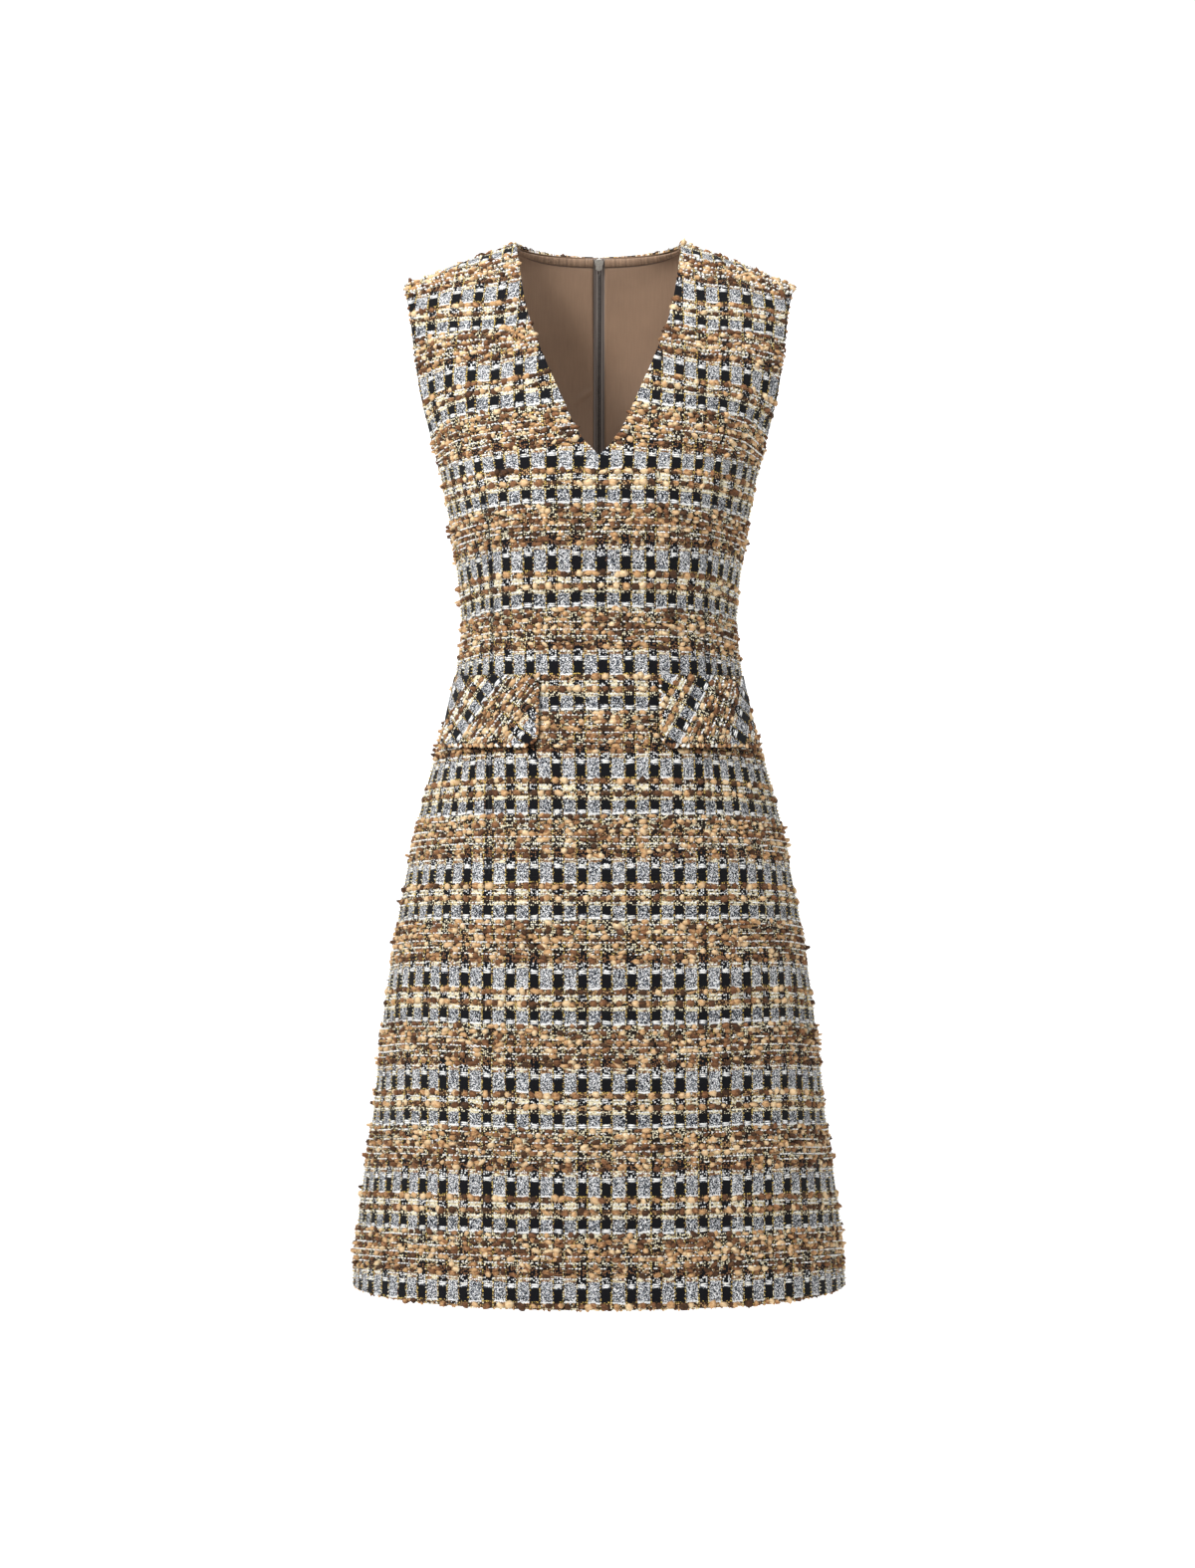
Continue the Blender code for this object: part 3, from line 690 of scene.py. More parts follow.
        # fewer beads over the dotted foot of a black column, and beside the gold warp
        off = from_column(found)
        share = np.where((off < 4.2) & (down > 64.0), 0.22, 0.90)
        share = share * np.where(np.abs(off - WARP_OFFSET) < 1.5, 0.38, 1.0)
        keep = self.random.uniform(0.0, 1.0, count) < share
        lean = self.random.normal(0.0, 0.30, count)
        found[:, :3] += unit(np.cross(found[:, 3:6], ahead)) * self.random.normal(0.0, 0.55, (count, 1))
        self.lay(Yarn.BOUCLE, found, ahead, size, np.clip(tone, 0.02, 0.78), lean, keep)

    def lay_cream(self, part: Lattice, place: float, down: float, density: float) -> None:
        """Lay one pick of cream yarn, whole between the brown rows and in dashes among them."""
        pick = part.along_pick(place)
        if pick is None:
            return
        found, ahead = self.spaced(pick, (3.4 if down > BROWN_ROWS[0] else 2.9) / density, 0.3)
        count = len(found)
        among = BROWN_ROWS[0] < down < BROWN_ROWS[1]
        runs = waves(found[:, 6], (0.21, place * 1.7), (0.083, place))
        keep = np.where(among, runs > SPARSE_CREAM.get(down, 0.0), from_column(found) >= WARP_OFFSET)
        keep &= self.random.uniform(0.0, 1.0, count) < CREAM_SHARE
        size = self.sizes(Yarn.CREAM, count) * (1.0, 1.0, 1.35 if among else 1.0)
        tone = self.random.uniform(0.95, 1.0, count)
        self.lay(Yarn.CREAM, found, ahead, size, tone, self.random.normal(0.0, 0.14, count), keep)

    def at_columns(self, pick: Array, offsets: tuple[float, ...], inset: float,
                   keep_off: float) -> tuple[Array, Array]:
        """Find a traced pick's places at every black column.

        Args:
            pick: The traced pick.
            offsets: Where each place lies from its column's middle.
            inset: Least distance inside the pick's ends.
            keep_off: Least distance from a seam.

        Returns:
            The places as rows of point, normal and weave place, and the weft's direction at each.
        """
        across, order = pick[:, 6], np.argsort(pick[:, 6])
        first = math.ceil((across.min() + inset - COLUMN_CENTRE) / COLUMN_REPEAT)
        last = math.floor((across.max() - inset - COLUMN_CENTRE) / COLUMN_REPEAT)
        centres = COLUMN_CENTRE + COLUMN_REPEAT * np.arange(first, last + 1)
        centres = np.concatenate([centres + offset for offset in offsets])
        found = read_rows(pick[order], across[order], centres)
        ahead = read_rows(pick[order], across[order], centres + 1.0)[:, :3] - found[:, :3]
        clear = (np.abs(found[:, 8]) > keep_off) & (np.linalg.norm(ahead, axis=1) > 1e-6)
        return found[clear], ahead[clear]

    def lay_warp(self, part: Lattice) -> None:
        """Lay the gold warp's stitches beside every black column."""
        low, high = part.weave[:, :, 1].min(), part.weave[:, :, 1].max()
        for place in np.arange(low, high, WARP_STEP):
            pick = part.along_pick(place)
            if pick is None:
                continue
            found, ahead = self.at_columns(pick, (-WARP_OFFSET, WARP_OFFSET), 5.5, 2.0)
            count = len(found)
            size = self.sizes(Yarn.WARP, count)
            found[:, :3] += ahead * self.random.normal(0.0, 0.25, (count, 1))
            self.lay(Yarn.WARP, found, ahead, size, self.random.uniform(0.0, 1.0, count), np.zeros(count))

    def lay_floats(self, part: Lattice, place: float, *_: float) -> None:
        """Lay one white float, of two strands, over each black column."""
        pick = part.along_pick(place)
        if pick is None:
            return
        found, ahead = self.at_columns(pick, (0.0,), 3.0, 3.5)
        for offset in (-0.85, 0.85):
            count = len(found)
            moved = found.copy()
            moved[:, :3] += unit(np.cross(found[:, 3:6], ahead)) * offset
            moved[:, 7] += offset
            size = self.sizes(Yarn.FLOAT, count)
            tone = self.random.uniform(0.96, 1.0, count)
            self.lay(Yarn.FLOAT, moved, ahead, size, tone, self.random.normal(0.0, 0.05, count))

    def fringe(self, edge: Array, step: float, scale: float = 1.0) -> None:
        """Lay stray nubs along an edge, so that the outline is woolly.

        Args:
            edge: Rows of point, normal, weave place and seam distance along the edge.
            step: Mean distance between nubs.
            scale: The nubs' size, as a share of the usual.
        """
        found, ahead = self.spaced(edge, step, 0.45)
        count = len(found)
        size = self.sizes(Yarn.STRAY, count) * (scale, scale, scale * scale)
        tone = np.clip(self.random.normal(0.5, 0.2, count), 0.02, 0.86)
        tone[self.random.uniform(0.0, 1.0, count) < 0.18] = 0.96
        self.lay(Yarn.STRAY, found, ahead, size, tone, self.random.uniform(-1.2, 1.2, count))

    def piece(self, name: str, finish: Material) -> Piece:
        """Make the collected yarn one piece."""
        made = mesh_piece(name, np.concatenate(self.points), np.concatenate(self.faces),
                          np.concatenate(self.weave), np.concatenate(self.tone))
        made.data.materials.append(finish)
        LOG.info("%s: %d triangles of standing yarn", name, len(made.data.polygons))
        return made


# --- finishes ------------------------------------------------------------------------------------

def linear(red: float, green: float, blue: float) -> Colour:
    """Turn a colour as the eye reads it, 0 to 255, into the shader's own scale."""
    parts = [value / 255.0 for value in (red, green, blue)]
    parts = [part / 12.92 if part <= 0.04045 else ((part + 0.055) / 1.055) ** 2.4 for part in parts]
    return (*parts, 1.0)


BLACK = linear(9, 10, 16)
WHITE = linear(240, 240, 240)
CREAM = linear(243, 234, 203)
TAN = linear(194, 153, 108)
LIGHT_TAN = linear(214, 182, 142)
BROWN = linear(138, 98, 67)
DARK_BROWN = linear(64, 45, 32)
# the dark ground yarn, darkened further as painted shade in the gaps between the standing nubs and stitches
GROUND_AND_GAP_SHADE = linear(34, 26, 22)
STRAW = linear(206, 188, 148)
GOLD = linear(212, 182, 98)
SLATE = linear(80, 84, 92)
LINING_BROWN = linear(150, 122, 99)


class Sketch:
    """Draws nodes in a tree, so that a finish reads as a list of steps."""

    def __init__(self, tree: NodeTree) -> None:
        """Start on a tree."""
        self.tree = tree

    def node(self, kind: str, **settings: object) -> bpy.types.Node:
        """Add a node and set its properties."""
        made = self.tree.nodes.new(kind)
        configure(made, **settings)
        return made

    def feed(self, socket: Socket, value: object) -> None:
        """Link a socket to another one, or set its value."""
        if isinstance(value, Socket):
            self.tree.links.new(value, socket)
        else:
            socket.default_value = value

    def fed(self, made: bpy.types.Node, values: dict[int | str, object], output: int | str = 0) -> Socket:
        """Feed a node's inputs, by their places or names, and give one of its outputs."""
        for key, value in values.items():
            self.feed(made.inputs[key], value)
        return made.outputs[output]

    def math(self, operation: str, *values: object) -> Socket:
        """Do one sum."""
        return self.fed(self.node("ShaderNodeMath", operation=operation), dict(enumerate(values)))

    def add(self, first: object, second: object) -> Socket:
        """Add two values."""
        return self.math("ADD", first, second)

    def minus(self, first: object, second: object) -> Socket:
        """Take the second value from the first."""
        return self.math("SUBTRACT", first, second)

    def times(self, first: object, second: object) -> Socket:
        """Multiply two values."""
        return self.math("MULTIPLY", first, second)

    def mix(self, share: object, first: object, second: object, blend: str = "MIX") -> Socket:
        """Mix two colours."""
        made = self.node("ShaderNodeMix", data_type="RGBA", blend_type=blend)
        return self.fed(made, {0: share, 6: first, 7: second}, 2)

    def shaded(self, colour: object, shade: Socket) -> Socket:
        """Darken or lighten a colour by a factor."""
        return self.mix(1.0, colour, self.combine(shade, shade, shade), "MULTIPLY")

    def ramp(self, share: object, stops: Sequence[tuple[float, Colour]], kind: str = "CONSTANT") -> Socket:
        """Read a row of colours."""
        made = self.node("ShaderNodeValToRGB")
        made.color_ramp.interpolation = kind
        elements = made.color_ramp.elements
        while len(elements) < len(stops):
            elements.new(1.0)
        for element, (place, colour) in zip(elements, stops):
            element.position, element.color = place, colour
        return self.fed(made, {0: share})

    def band(self, value: object, low: float, high: float, first: float = 0.0, last: float = 1.0) -> Socket:
        """Map a value from one range to another, and clamp it."""
        return self.fed(self.node("ShaderNodeMapRange"), dict(enumerate((value, low, high, first, last))))

    def noise(self, vector: object, scale: float, detail: float = 2.0,
              stretch: tuple[float, float, float] | None = None) -> Socket:
        """Make noise, stretched where asked, round 0.5."""
        if stretch:
            vector = self.vector("MULTIPLY", vector, stretch)
        return self.fed(self.node("ShaderNodeTexNoise"), {"Vector": vector, "Scale": scale, "Detail": detail,
                                                          "Roughness": 0.55})

    def stitches(self, vector: object, scale: float, loose: float) -> tuple[Socket, Socket]:
        """Scatter stitches: how far off its middle a place is, and a number from 0 to 1 of its own."""
        made = self.node("ShaderNodeTexVoronoi")
        off = self.fed(made, {"Vector": vector, "Scale": scale, "Randomness": loose}, "Distance")
        return off, self.split(made.outputs["Color"])[0]

    def vector(self, operation: str, *values: object) -> Socket:
        """Do one sum on vectors."""
        return self.fed(self.node("ShaderNodeVectorMath", operation=operation), dict(enumerate(values)))

    def combine(self, x: object, y: object, z: object = 0.0) -> Socket:
        """Join numbers into a vector."""
        return self.fed(self.node("ShaderNodeCombineXYZ"), {0: x, 1: y, 2: z})

    def split(self, vector: object) -> tuple[Socket, Socket]:
        """Split a vector into its first two numbers."""
        made = self.node("ShaderNodeSeparateXYZ")
        return self.fed(made, {0: vector}), made.outputs[1]

    def layer(self, name: str) -> Socket:
        """Read a piece's own map, in millimetres for the weave and the seam."""
        made = self.node("ShaderNodeUVMap", uv_map=name)
        if name == "yarn":
            return made.outputs[0]
        return self.vector("MULTIPLY", made.outputs[0], (1000.0, 1000.0, 1000.0))

    def effect(self, group: NodeTree, **inputs: object) -> tuple[Socket, Socket]:
        """Place a shared effect and give its two outputs."""
        made = self.node("ShaderNodeGroup", node_tree=group)
        return self.fed(made, inputs), made.outputs[1]

    def finish(self, shader: bpy.types.Node, colour: Socket, height: Socket, strength: float,
               distance: float) -> None:
        """Feed a shader its colour and its relief.

        Args:
            shader: The material's shader.
            colour: The base colour.
            height: The relief.
            strength: How much of the relief shows.
            distance: The relief's depth, in metres.
        """
        self.feed(shader.inputs["Base Color"], colour)
        bump = self.node("ShaderNodeBump")
        self.feed(shader.inputs["Normal"], self.fed(bump, {"Strength": strength, "Distance": distance,
                                                           "Height": height}))


def new_effect(name: str, inputs: dict[str, str], outputs: dict[str, str]) -> tuple[Sketch, Socket, Socket]:
    """Start a shared effect from its sockets' names and kinds, and give its sketch and its two inner ends."""
    tree = bpy.data.node_groups.new(name, "ShaderNodeTree")
    for direction, sockets in (("INPUT", inputs), ("OUTPUT", outputs)):
        for socket, kind in sockets.items():
            tree.interface.new_socket(name=socket, in_out=direction, socket_type=f"NodeSocket{kind}")
    sketch = Sketch(tree)
    return sketch, sketch.node("NodeGroupInput").outputs, sketch.node("NodeGroupOutput").inputs


def check_stops(rows: Sequence[tuple[float, Colour]]) -> list[tuple[float, Colour]]:
    """Turn rows of a place down the check and a colour into a ramp's stops."""
    return [(place / CHECK_REPEAT, colour) for place, colour in rows]


COLUMN_HALF = 3.8  # half width of a black column
WARP_BAND = (4.5, 0.72)  # the gold warp's distance from a column's middle, and its half width
# Colours down one check from the middle of the wide squares: the ground, then what crosses it. The darkest
# ground, in the brown rows and between stitches, is partly painted shade under the standing nubs.
COLUMN_GROUND = ((0, BLACK), (5.7, GROUND_AND_GAP_SHADE), (7.4, DARK_BROWN), (11.8, BLACK), (17.9, DARK_BROWN),
                 (22.1, GROUND_AND_GAP_SHADE), (25.9, BLACK), (33.9, SLATE), (38.1, GROUND_AND_GAP_SHADE), (66.0, BLACK), (81.0, SLATE),
                 (84.8, BLACK))
COLUMN_CROSSING = ((0, BLACK), (5.7, GOLD), (7.4, TAN), (11.8, WHITE), (17.9, TAN), (22.1, CREAM),
                   (25.9, BLACK), (33.9, WHITE), (38.1, CREAM), (50.0, TAN), (58.0, CREAM), (66.0, BROWN),
                   (74.9, WHITE), (84.8, BLACK))
CELL_GROUND = ((0, WHITE), (7.4, GROUND_AND_GAP_SHADE), (11.8, STRAW), (17.9, GROUND_AND_GAP_SHADE), (22.1, STRAW), (25.9, WHITE),
               (38.1, GROUND_AND_GAP_SHADE), (57.0, TAN), (58.6, GROUND_AND_GAP_SHADE), (74.9, BROWN), (79.5, WHITE))
CELL_CROSSING = ((0, WHITE), (7.4, TAN), (11.8, CREAM), (17.9, TAN), (22.1, CREAM), (25.9, WHITE),
                 (38.1, CREAM), (43.0, TAN), (47.0, CREAM), (52.0, TAN), (57.0, WHITE), (58.6, TAN),
                 (63.0, CREAM), (67.0, TAN), (74.9, CREAM), (79.5, WHITE))
# What one stitch shows, by share: among the brown yarn, in a cream row, along the gold warp and in the cells
AMONG_BROWN = [(0.0, GROUND_AND_GAP_SHADE), (0.22, DARK_BROWN), (0.34, BROWN), (0.44, TAN), (0.58, CREAM), (0.78, WHITE),
               (0.95, GOLD)]
CREAM_ROW = [(0.0, GROUND_AND_GAP_SHADE), (0.22, BROWN), (0.34, STRAW), (0.80, CREAM)]
GOLD_WARP = [(0.0, GROUND_AND_GAP_SHADE), (0.28, BROWN), (0.36, GOLD), (0.80, CREAM)]
PEPPER = [(0.0, linear(20, 22, 29)), (0.29, SLATE), (0.50, linear(150, 155, 164)), (0.66, WHITE)]


def check_marks(*edges: float) -> list[tuple[float, Colour]]:
    """Turn the places down the check where a mask changes, from 0 at the top, into a ramp's stops."""
    places = edges if edges[0] == 0.0 else (0.0, *edges)
    first = 1 if edges[0] == 0.0 else 0
    return check_stops([(place, (*[float((index + first) % 2)] * 3, 1.0))
                        for index, place in enumerate(places)])


def make_check_weave() -> NodeTree:
    """Make the checked weave: black columns, salt-and-pepper cells and bouclé rows."""
    sketch, given, out = new_effect("check_weave", {"Place": "Vector"}, {"Color": "Color", "Height": "Float"})
    place = given["Place"]
    x, y = sketch.split(place)
    # the place in one check, off the column's middle and down from the wide squares, with ragged edges
    ragged = sketch.noise(place, 0.9, 1.0)
    sway = sketch.noise(place, 0.06, 0.0)
    across = sketch.add(x, sketch.band(ragged, 0.3, 0.7, -0.5, 0.5))
    up = sketch.add(y, sketch.band(sway, 0.2, 0.8, -0.9, 0.9))
    up = sketch.add(up, sketch.band(ragged, 0.3, 0.7, -0.55, 0.55))
    column = sketch.math("DIVIDE", sketch.minus(across, COLUMN_CENTRE), COLUMN_REPEAT)
    off = sketch.math("ABSOLUTE", sketch.minus(column, sketch.math("ROUND", column)))
    off = sketch.times(off, COLUMN_REPEAT)
    down = sketch.math("FRACT", sketch.math("DIVIDE", sketch.times(up, -1.0), CHECK_REPEAT))
    in_column = sketch.math("LESS_THAN", off, COLUMN_HALF)
    in_gold = sketch.math("COMPARE", off, *WARP_BAND)

    # stitches, and the fibres that break them up
    dot, chance = sketch.stitches(place, 0.60, 0.5)
    _, grain = sketch.stitches(place, 1.45, 1.0)
    dot = sketch.math("LESS_THAN", dot, 0.44)
    streak = sketch.noise(place, 1.0, 3.0, (0.16, 0.42, 1.0))
    fibre = sketch.noise(place, 1.0, 2.0, (0.9, 2.1, 1.0))
    yarn = sketch.band(sketch.add(streak, sketch.times(fibre, 0.5)), 0.76, 0.84)
    crossed = sketch.times(dot, sketch.math("GREATER_THAN", chance, 0.3))

    # masks down the check: salt and pepper, the white lines beside it, the narrow squares, the cream rows
    salted, lined, narrow, creamy = (sketch.ramp(down, check_marks(*edges)) for edges in (
        (0.0, 5.7, 25.9, 36.5, 79.5), (5.7, 7.4, 36.5, 38.1), (25.9, 37.3), (11.8, 17.9, 22.1, 25.9)))
    column_ground, column_crossing, cell_ground, cell_crossing = (
        sketch.ramp(down, check_stops(rows)) for rows in (COLUMN_GROUND, COLUMN_CROSSING, CELL_GROUND,
                                                          CELL_CROSSING))
    stitched = sketch.mix(dot, cell_ground, sketch.ramp(chance, AMONG_BROWN))
    stitched = sketch.mix(creamy, stitched, sketch.mix(crossed, sketch.ramp(chance, CREAM_ROW), CREAM))
    stitched = sketch.mix(yarn, stitched, cell_crossing)
    stitched = sketch.mix(lined, stitched, WHITE)
    salt = sketch.add(grain, sketch.band(narrow, 0.0, 1.0, -0.02, -0.10))
    colour = sketch.mix(salted, stitched, sketch.ramp(salt, PEPPER))
    colour = sketch.mix(in_gold, colour, sketch.mix(dot, GROUND_AND_GAP_SHADE, sketch.ramp(chance, GOLD_WARP)))
    colour = sketch.mix(in_column, colour, sketch.mix(crossed, column_ground, column_crossing))
    colour = sketch.shaded(colour, sketch.band(sketch.noise(place, 0.5, 2.0), 0.3, 0.7, 0.80, 1.12))

    # relief: loose ribs in the yarn rows, a fine close weave in the salt and pepper
    rib = sketch.math("SINE", sketch.times(y, 2.0 * math.pi / 4.3))
    fine_rib = sketch.times(sketch.math("SINE", sketch.times(y, 4.6)),
                            sketch.math("SINE", sketch.times(x, 4.6)))
    loose = sketch.add(sketch.times(rib, 0.30), sketch.times(fibre, 1.2))
    close = sketch.add(sketch.times(fine_rib, 0.16), sketch.times(grain, 0.35))
    height = sketch.fed(sketch.node("ShaderNodeMix", data_type="FLOAT"), {0: salted, 2: loose, 3: close})
    sketch.feed(out["Color"], colour)
    sketch.feed(out["Height"], sketch.minus(height, sketch.times(in_column, 0.12)))
    return sketch.tree


def make_seam_line() -> NodeTree:
    """Make a sewn line: a fold that is sunk, with painted shade in it."""
    sketch, given, out = new_effect("seam_line", {"Distance": "Float", "Color": "Color", "Height": "Float"},
                                    {"Color": "Color", "Height": "Float"})
    gap = sketch.math("ABSOLUTE", given["Distance"])
    fold = sketch.band(gap, 0.35, 1.7, 1.0, 0.0)
    # painted shade in the fold; along the pocket flaps' edges it paints their shadow on the front
    painted_fold_shade = sketch.band(gap, 0.2, 1.0, 0.55, 1.0)
    sketch.feed(out["Color"], sketch.shaded(given["Color"], painted_fold_shade))
    sketch.feed(out["Height"], sketch.minus(given["Height"], sketch.times(fold, 2.2)))
    return sketch.tree


def make_fine_weave() -> NodeTree:
    """Make a fine plain weave for the lining and the zip's tapes."""
    sketch, given, out = new_effect("fine_weave", {"Place": "Vector", "Pitch": "Float"},
                                    {"Mask": "Float", "Height": "Float"})
    turns = sketch.math("DIVIDE", 2.0 * math.pi, given["Pitch"])
    x, y = sketch.split(given["Place"])
    warp = sketch.math("SINE", sketch.times(x, turns))
    weft = sketch.math("SINE", sketch.times(y, turns))
    woven = sketch.times(warp, weft)
    slub = sketch.noise(given["Place"], 1.0, 2.0, (0.9, 0.05, 1.0))
    sketch.feed(out["Mask"], sketch.add(sketch.times(woven, 0.12), slub))
    sketch.feed(out["Height"], woven)
    return sketch.tree


BOUCLE_TONES = ((0.0, DARK_BROWN), (0.20, linear(104, 70, 48)), (0.37, BROWN), (0.53, TAN), (0.74, LIGHT_TAN),
                (0.88, linear(228, 206, 166)), (0.93, CREAM), (0.985, WHITE))
WARP_TONES = ((0.0, GROUND_AND_GAP_SHADE), (0.20, BROWN), (0.28, GOLD), (0.56, GOLD), (0.62, CREAM))


@dataclass(frozen=True)
class TweedFinish:
    """The checked tweed, for the cloth itself or, given its tones, for the yarn that stands off it."""

    name: str
    tones: tuple[tuple[float, Colour], ...] = ()
    roughness: float = 0.86
    bump: float = 0.85
    deep: float = 0.0009

    def standing_yarn(self, sketch: Sketch, place: Socket) -> tuple[Socket, Socket]:
        """Colour a bead by its tone, with painted shade at its root and a painted highlight on its crown, and
        give the colour and the relief.
        """
        tone, height = sketch.split(sketch.layer("yarn"))
        fibre = sketch.noise(place, 1.0, 3.0, (0.30, 0.62, 1.0))
        mottle = sketch.add(tone, sketch.band(fibre, 0.3, 0.7, -0.15, 0.15))
        # the palest yarns stay clean
        pale = sketch.math("GREATER_THAN", tone, 0.88)
        mottle = sketch.math("MAXIMUM", mottle, sketch.times(pale, tone))
        plain = sketch.ramp(mottle, self.tones, "LINEAR")
        # painted shade towards the bead's root and a painted highlight on its crown
        colour = sketch.shaded(plain, sketch.band(height, 0.25, 0.80, 0.22, 1.12))
        return colour, sketch.noise(place, 1.0, 2.0, (1.1, 2.4, 1.0))

    def make(self, weave: NodeTree, seam: NodeTree) -> Material:
        """Make the material from the shared effects of the checked weave and the sewn line."""
        material, sketch, shader = new_finish(self.name, {
            "Roughness": self.roughness, "Sheen Weight": 0.04, "Sheen Roughness": 0.5,
            "Specular IOR Level": 0.15})
        place = sketch.layer("weave")
        if self.tones:
            colour, relief = self.standing_yarn(sketch, place)
        else:
            colour, relief = sketch.effect(weave, Place=place)
            distance, _ = sketch.split(sketch.layer("seam"))
            colour, relief = sketch.effect(seam, Distance=distance, Color=colour, Height=relief)
        sketch.finish(shader, colour, relief, self.bump, self.deep)
        return material


@dataclass(frozen=True)
class WovenFinish:
    """A fine plain cloth: the lining's satin and the zip's tape."""

    name: str
    colour: Colour
    pitch: float
    roughness: float
    puckered: bool = False
    ribbed: bool = False
    bump: float = 0.55
    deep: float = 0.0006
    roll: tuple[float, float] = (6.0, 7.6)
    groove: float = 7.9
    rib: float = 2.3

    def pucker(self, sketch: Sketch, place: Socket, shade: Socket, height: Socket) -> tuple[Socket, Socket]:
        """Gather the rolled neck edge with painted light and shade on its pleats, paint shade into the groove
        below it, and let the cloth below it drag a little.
        """
        distance, _ = sketch.split(sketch.layer("seam"))
        across, _ = sketch.split(place)
        strip = sketch.band(distance, *self.roll, 1.0, 0.0)
        pleat = sketch.noise(sketch.combine(sketch.times(across, 0.42), 0.0), 1.0, 1.0)
        pleated = sketch.times(pleat, strip)
        height = sketch.add(height, sketch.times(pleated, 3.4))
        # painted light and shade on the pleats of the roll
        shade = sketch.add(shade, sketch.times(sketch.minus(pleated, 0.5), sketch.times(strip, 1.7)))
        from_groove = sketch.math("ABSOLUTE", sketch.minus(distance, self.groove))
        # painted shade in the groove under the roll
        groove = sketch.band(from_groove, 0.3, 1.4, 0.26, 1.0)
        drag = sketch.noise(place, 1.0, 1.0, (0.03, 0.006, 1.0))
        return sketch.times(shade, groove), sketch.add(height, sketch.times(drag, 0.8))

    def make(self, fine: NodeTree) -> Material:
        """Make the material from the shared effect of the fine plain weave."""
        material, sketch, shader = new_finish(self.name, {"Roughness": self.roughness, "Sheen Weight": 0.05})
        place = sketch.layer("weave")
        mask, woven = sketch.effect(fine, Place=place, Pitch=self.pitch)
        cloudy = sketch.noise(place, 0.045, 2.0)
        shade = sketch.add(sketch.band(mask, 0.2, 0.8, 0.90, 1.08),
                           sketch.band(cloudy, 0.3, 0.7, -0.04, 0.04))
        height = sketch.times(woven, 0.10)
        if self.puckered:
            shade, height = self.pucker(sketch, place, shade, height)
        if self.ribbed:
            across, _ = sketch.split(place)
            rib = sketch.math("SINE", sketch.times(across, 2.0 * math.pi / self.rib))
            height = sketch.add(height, sketch.times(rib, 0.6))
            # painted light on the ribs' crests and painted shade in their troughs
            shade = sketch.add(shade, sketch.times(rib, 0.55))
        sketch.finish(shader, sketch.shaded(self.colour, shade), height, self.bump, self.deep)
        return material


@dataclass(frozen=True)
class HardFinish:
    """The zip's metal and its nylon coil."""

    name: str
    colour: Colour
    worn: Colour
    roughness: float
    metallic: float
    bump: float = 0.12
    deep: float = 0.00005

    def make(self) -> Material:
        """Make the material, with faint scratches and a duller tone where it is handled."""
        own = {"Roughness": self.roughness, "Metallic": self.metallic}
        material, sketch, shader = new_finish(self.name, own)
        coordinates = sketch.node("ShaderNodeTexCoord").outputs["Object"]
        handled = sketch.noise(coordinates, 420.0, 3.0)
        brushed = sketch.noise(coordinates, 1.0, 2.0, (4200.0, 260.0, 260.0))
        sketch.feed(shader.inputs["Roughness"],
                    sketch.band(brushed, 0.3, 0.7, self.roughness - 0.07, self.roughness + 0.10))
        colour = sketch.mix(sketch.band(handled, 0.4, 0.7), self.colour, self.worn)
        sketch.finish(shader, colour, brushed, self.bump, self.deep)
        return material


def new_finish(name: str, own: dict[str, float]) -> tuple[Material, Sketch, bpy.types.Node]:
    """Start a material, set its shader's own even values, and give it, its tree's sketch and its shader."""
    material = bpy.data.materials.new(name)
    material.use_nodes = True
    shader = material.node_tree.nodes["Principled BSDF"]
    for socket, value in own.items():
        shader.inputs[socket].default_value = value
    return material, Sketch(material.node_tree), shader


class Finishes:
    """Every finish on the dress, made once."""

    def __init__(self) -> None:
        """Make the shared effects and the materials."""
        weave, seam, fine = make_check_weave(), make_seam_line(), make_fine_weave()
        self.tweed = TweedFinish("checked_tweed").make(weave, seam)
        self.yarn = TweedFinish("standing_yarn", BOUCLE_TONES, 0.9, 0.7, 0.0007).make(weave, seam)
        self.warp = TweedFinish("gold_warp", WARP_TONES, 0.6, 0.3, 0.0003).make(weave, seam)
        self.lining = WovenFinish("brown_satin", LINING_BROWN, 0.8, 0.52, puckered=True).make(fine)
        self.inside = WovenFinish("inside_satin", LINING_BROWN, 0.8, 0.55).make(fine)
        self.tape = WovenFinish("zip_tape", linear(124, 115, 109), 0.7, 0.8, ribbed=True).make(fine)
        self.coil = HardFinish("zip_coil", linear(100, 94, 90), linear(82, 76, 72), 0.6, 0.0).make()
        self.metal = HardFinish("zip_nickel", linear(226, 223, 214), linear(196, 193, 186), 0.34, 1.0).make()


# --- tweed pieces --------------------------------------------------------------------------------

# Mean distance between the stray nubs along the hem and the armholes
HEM_FRINGE, ARM_FRINGE = 5.5, 6.5


def nearest_seam(*gaps: Array) -> Array:
    """Keep the smallest of several signed distances at each point."""
    stack = np.stack([np.broadcast_to(gap, gaps[0].shape) for gap in gaps])
    return np.take_along_axis(stack, np.abs(stack).argmin(axis=0)[None], axis=0)[0]


def edge_rows(part: Lattice, rows: slice | int, columns: slice | int, outward: Array) -> Array:
    """List an edge's points with normals that lean off the edge.

    Args:
        part: The cloth's lattice.
        rows: The edge's rows.
        columns: The edge's columns.
        outward: The way off the edge at each point.

    Returns:
        Rows of point, normal and weave place.
    """
    normal = part.normals[rows, columns]
    leaning = unit(normal * 0.55 + unit(outward))
    points = part.points[rows, columns] - normal * 0.9
    return np.concatenate([points, leaning, part.weave[rows, columns]], axis=1)


def hem_edge(part: Lattice) -> Array:
    """List the lower edge's points, leaning down."""
    return edge_rows(part, 0, slice(None), part.points[0] - part.points[1])


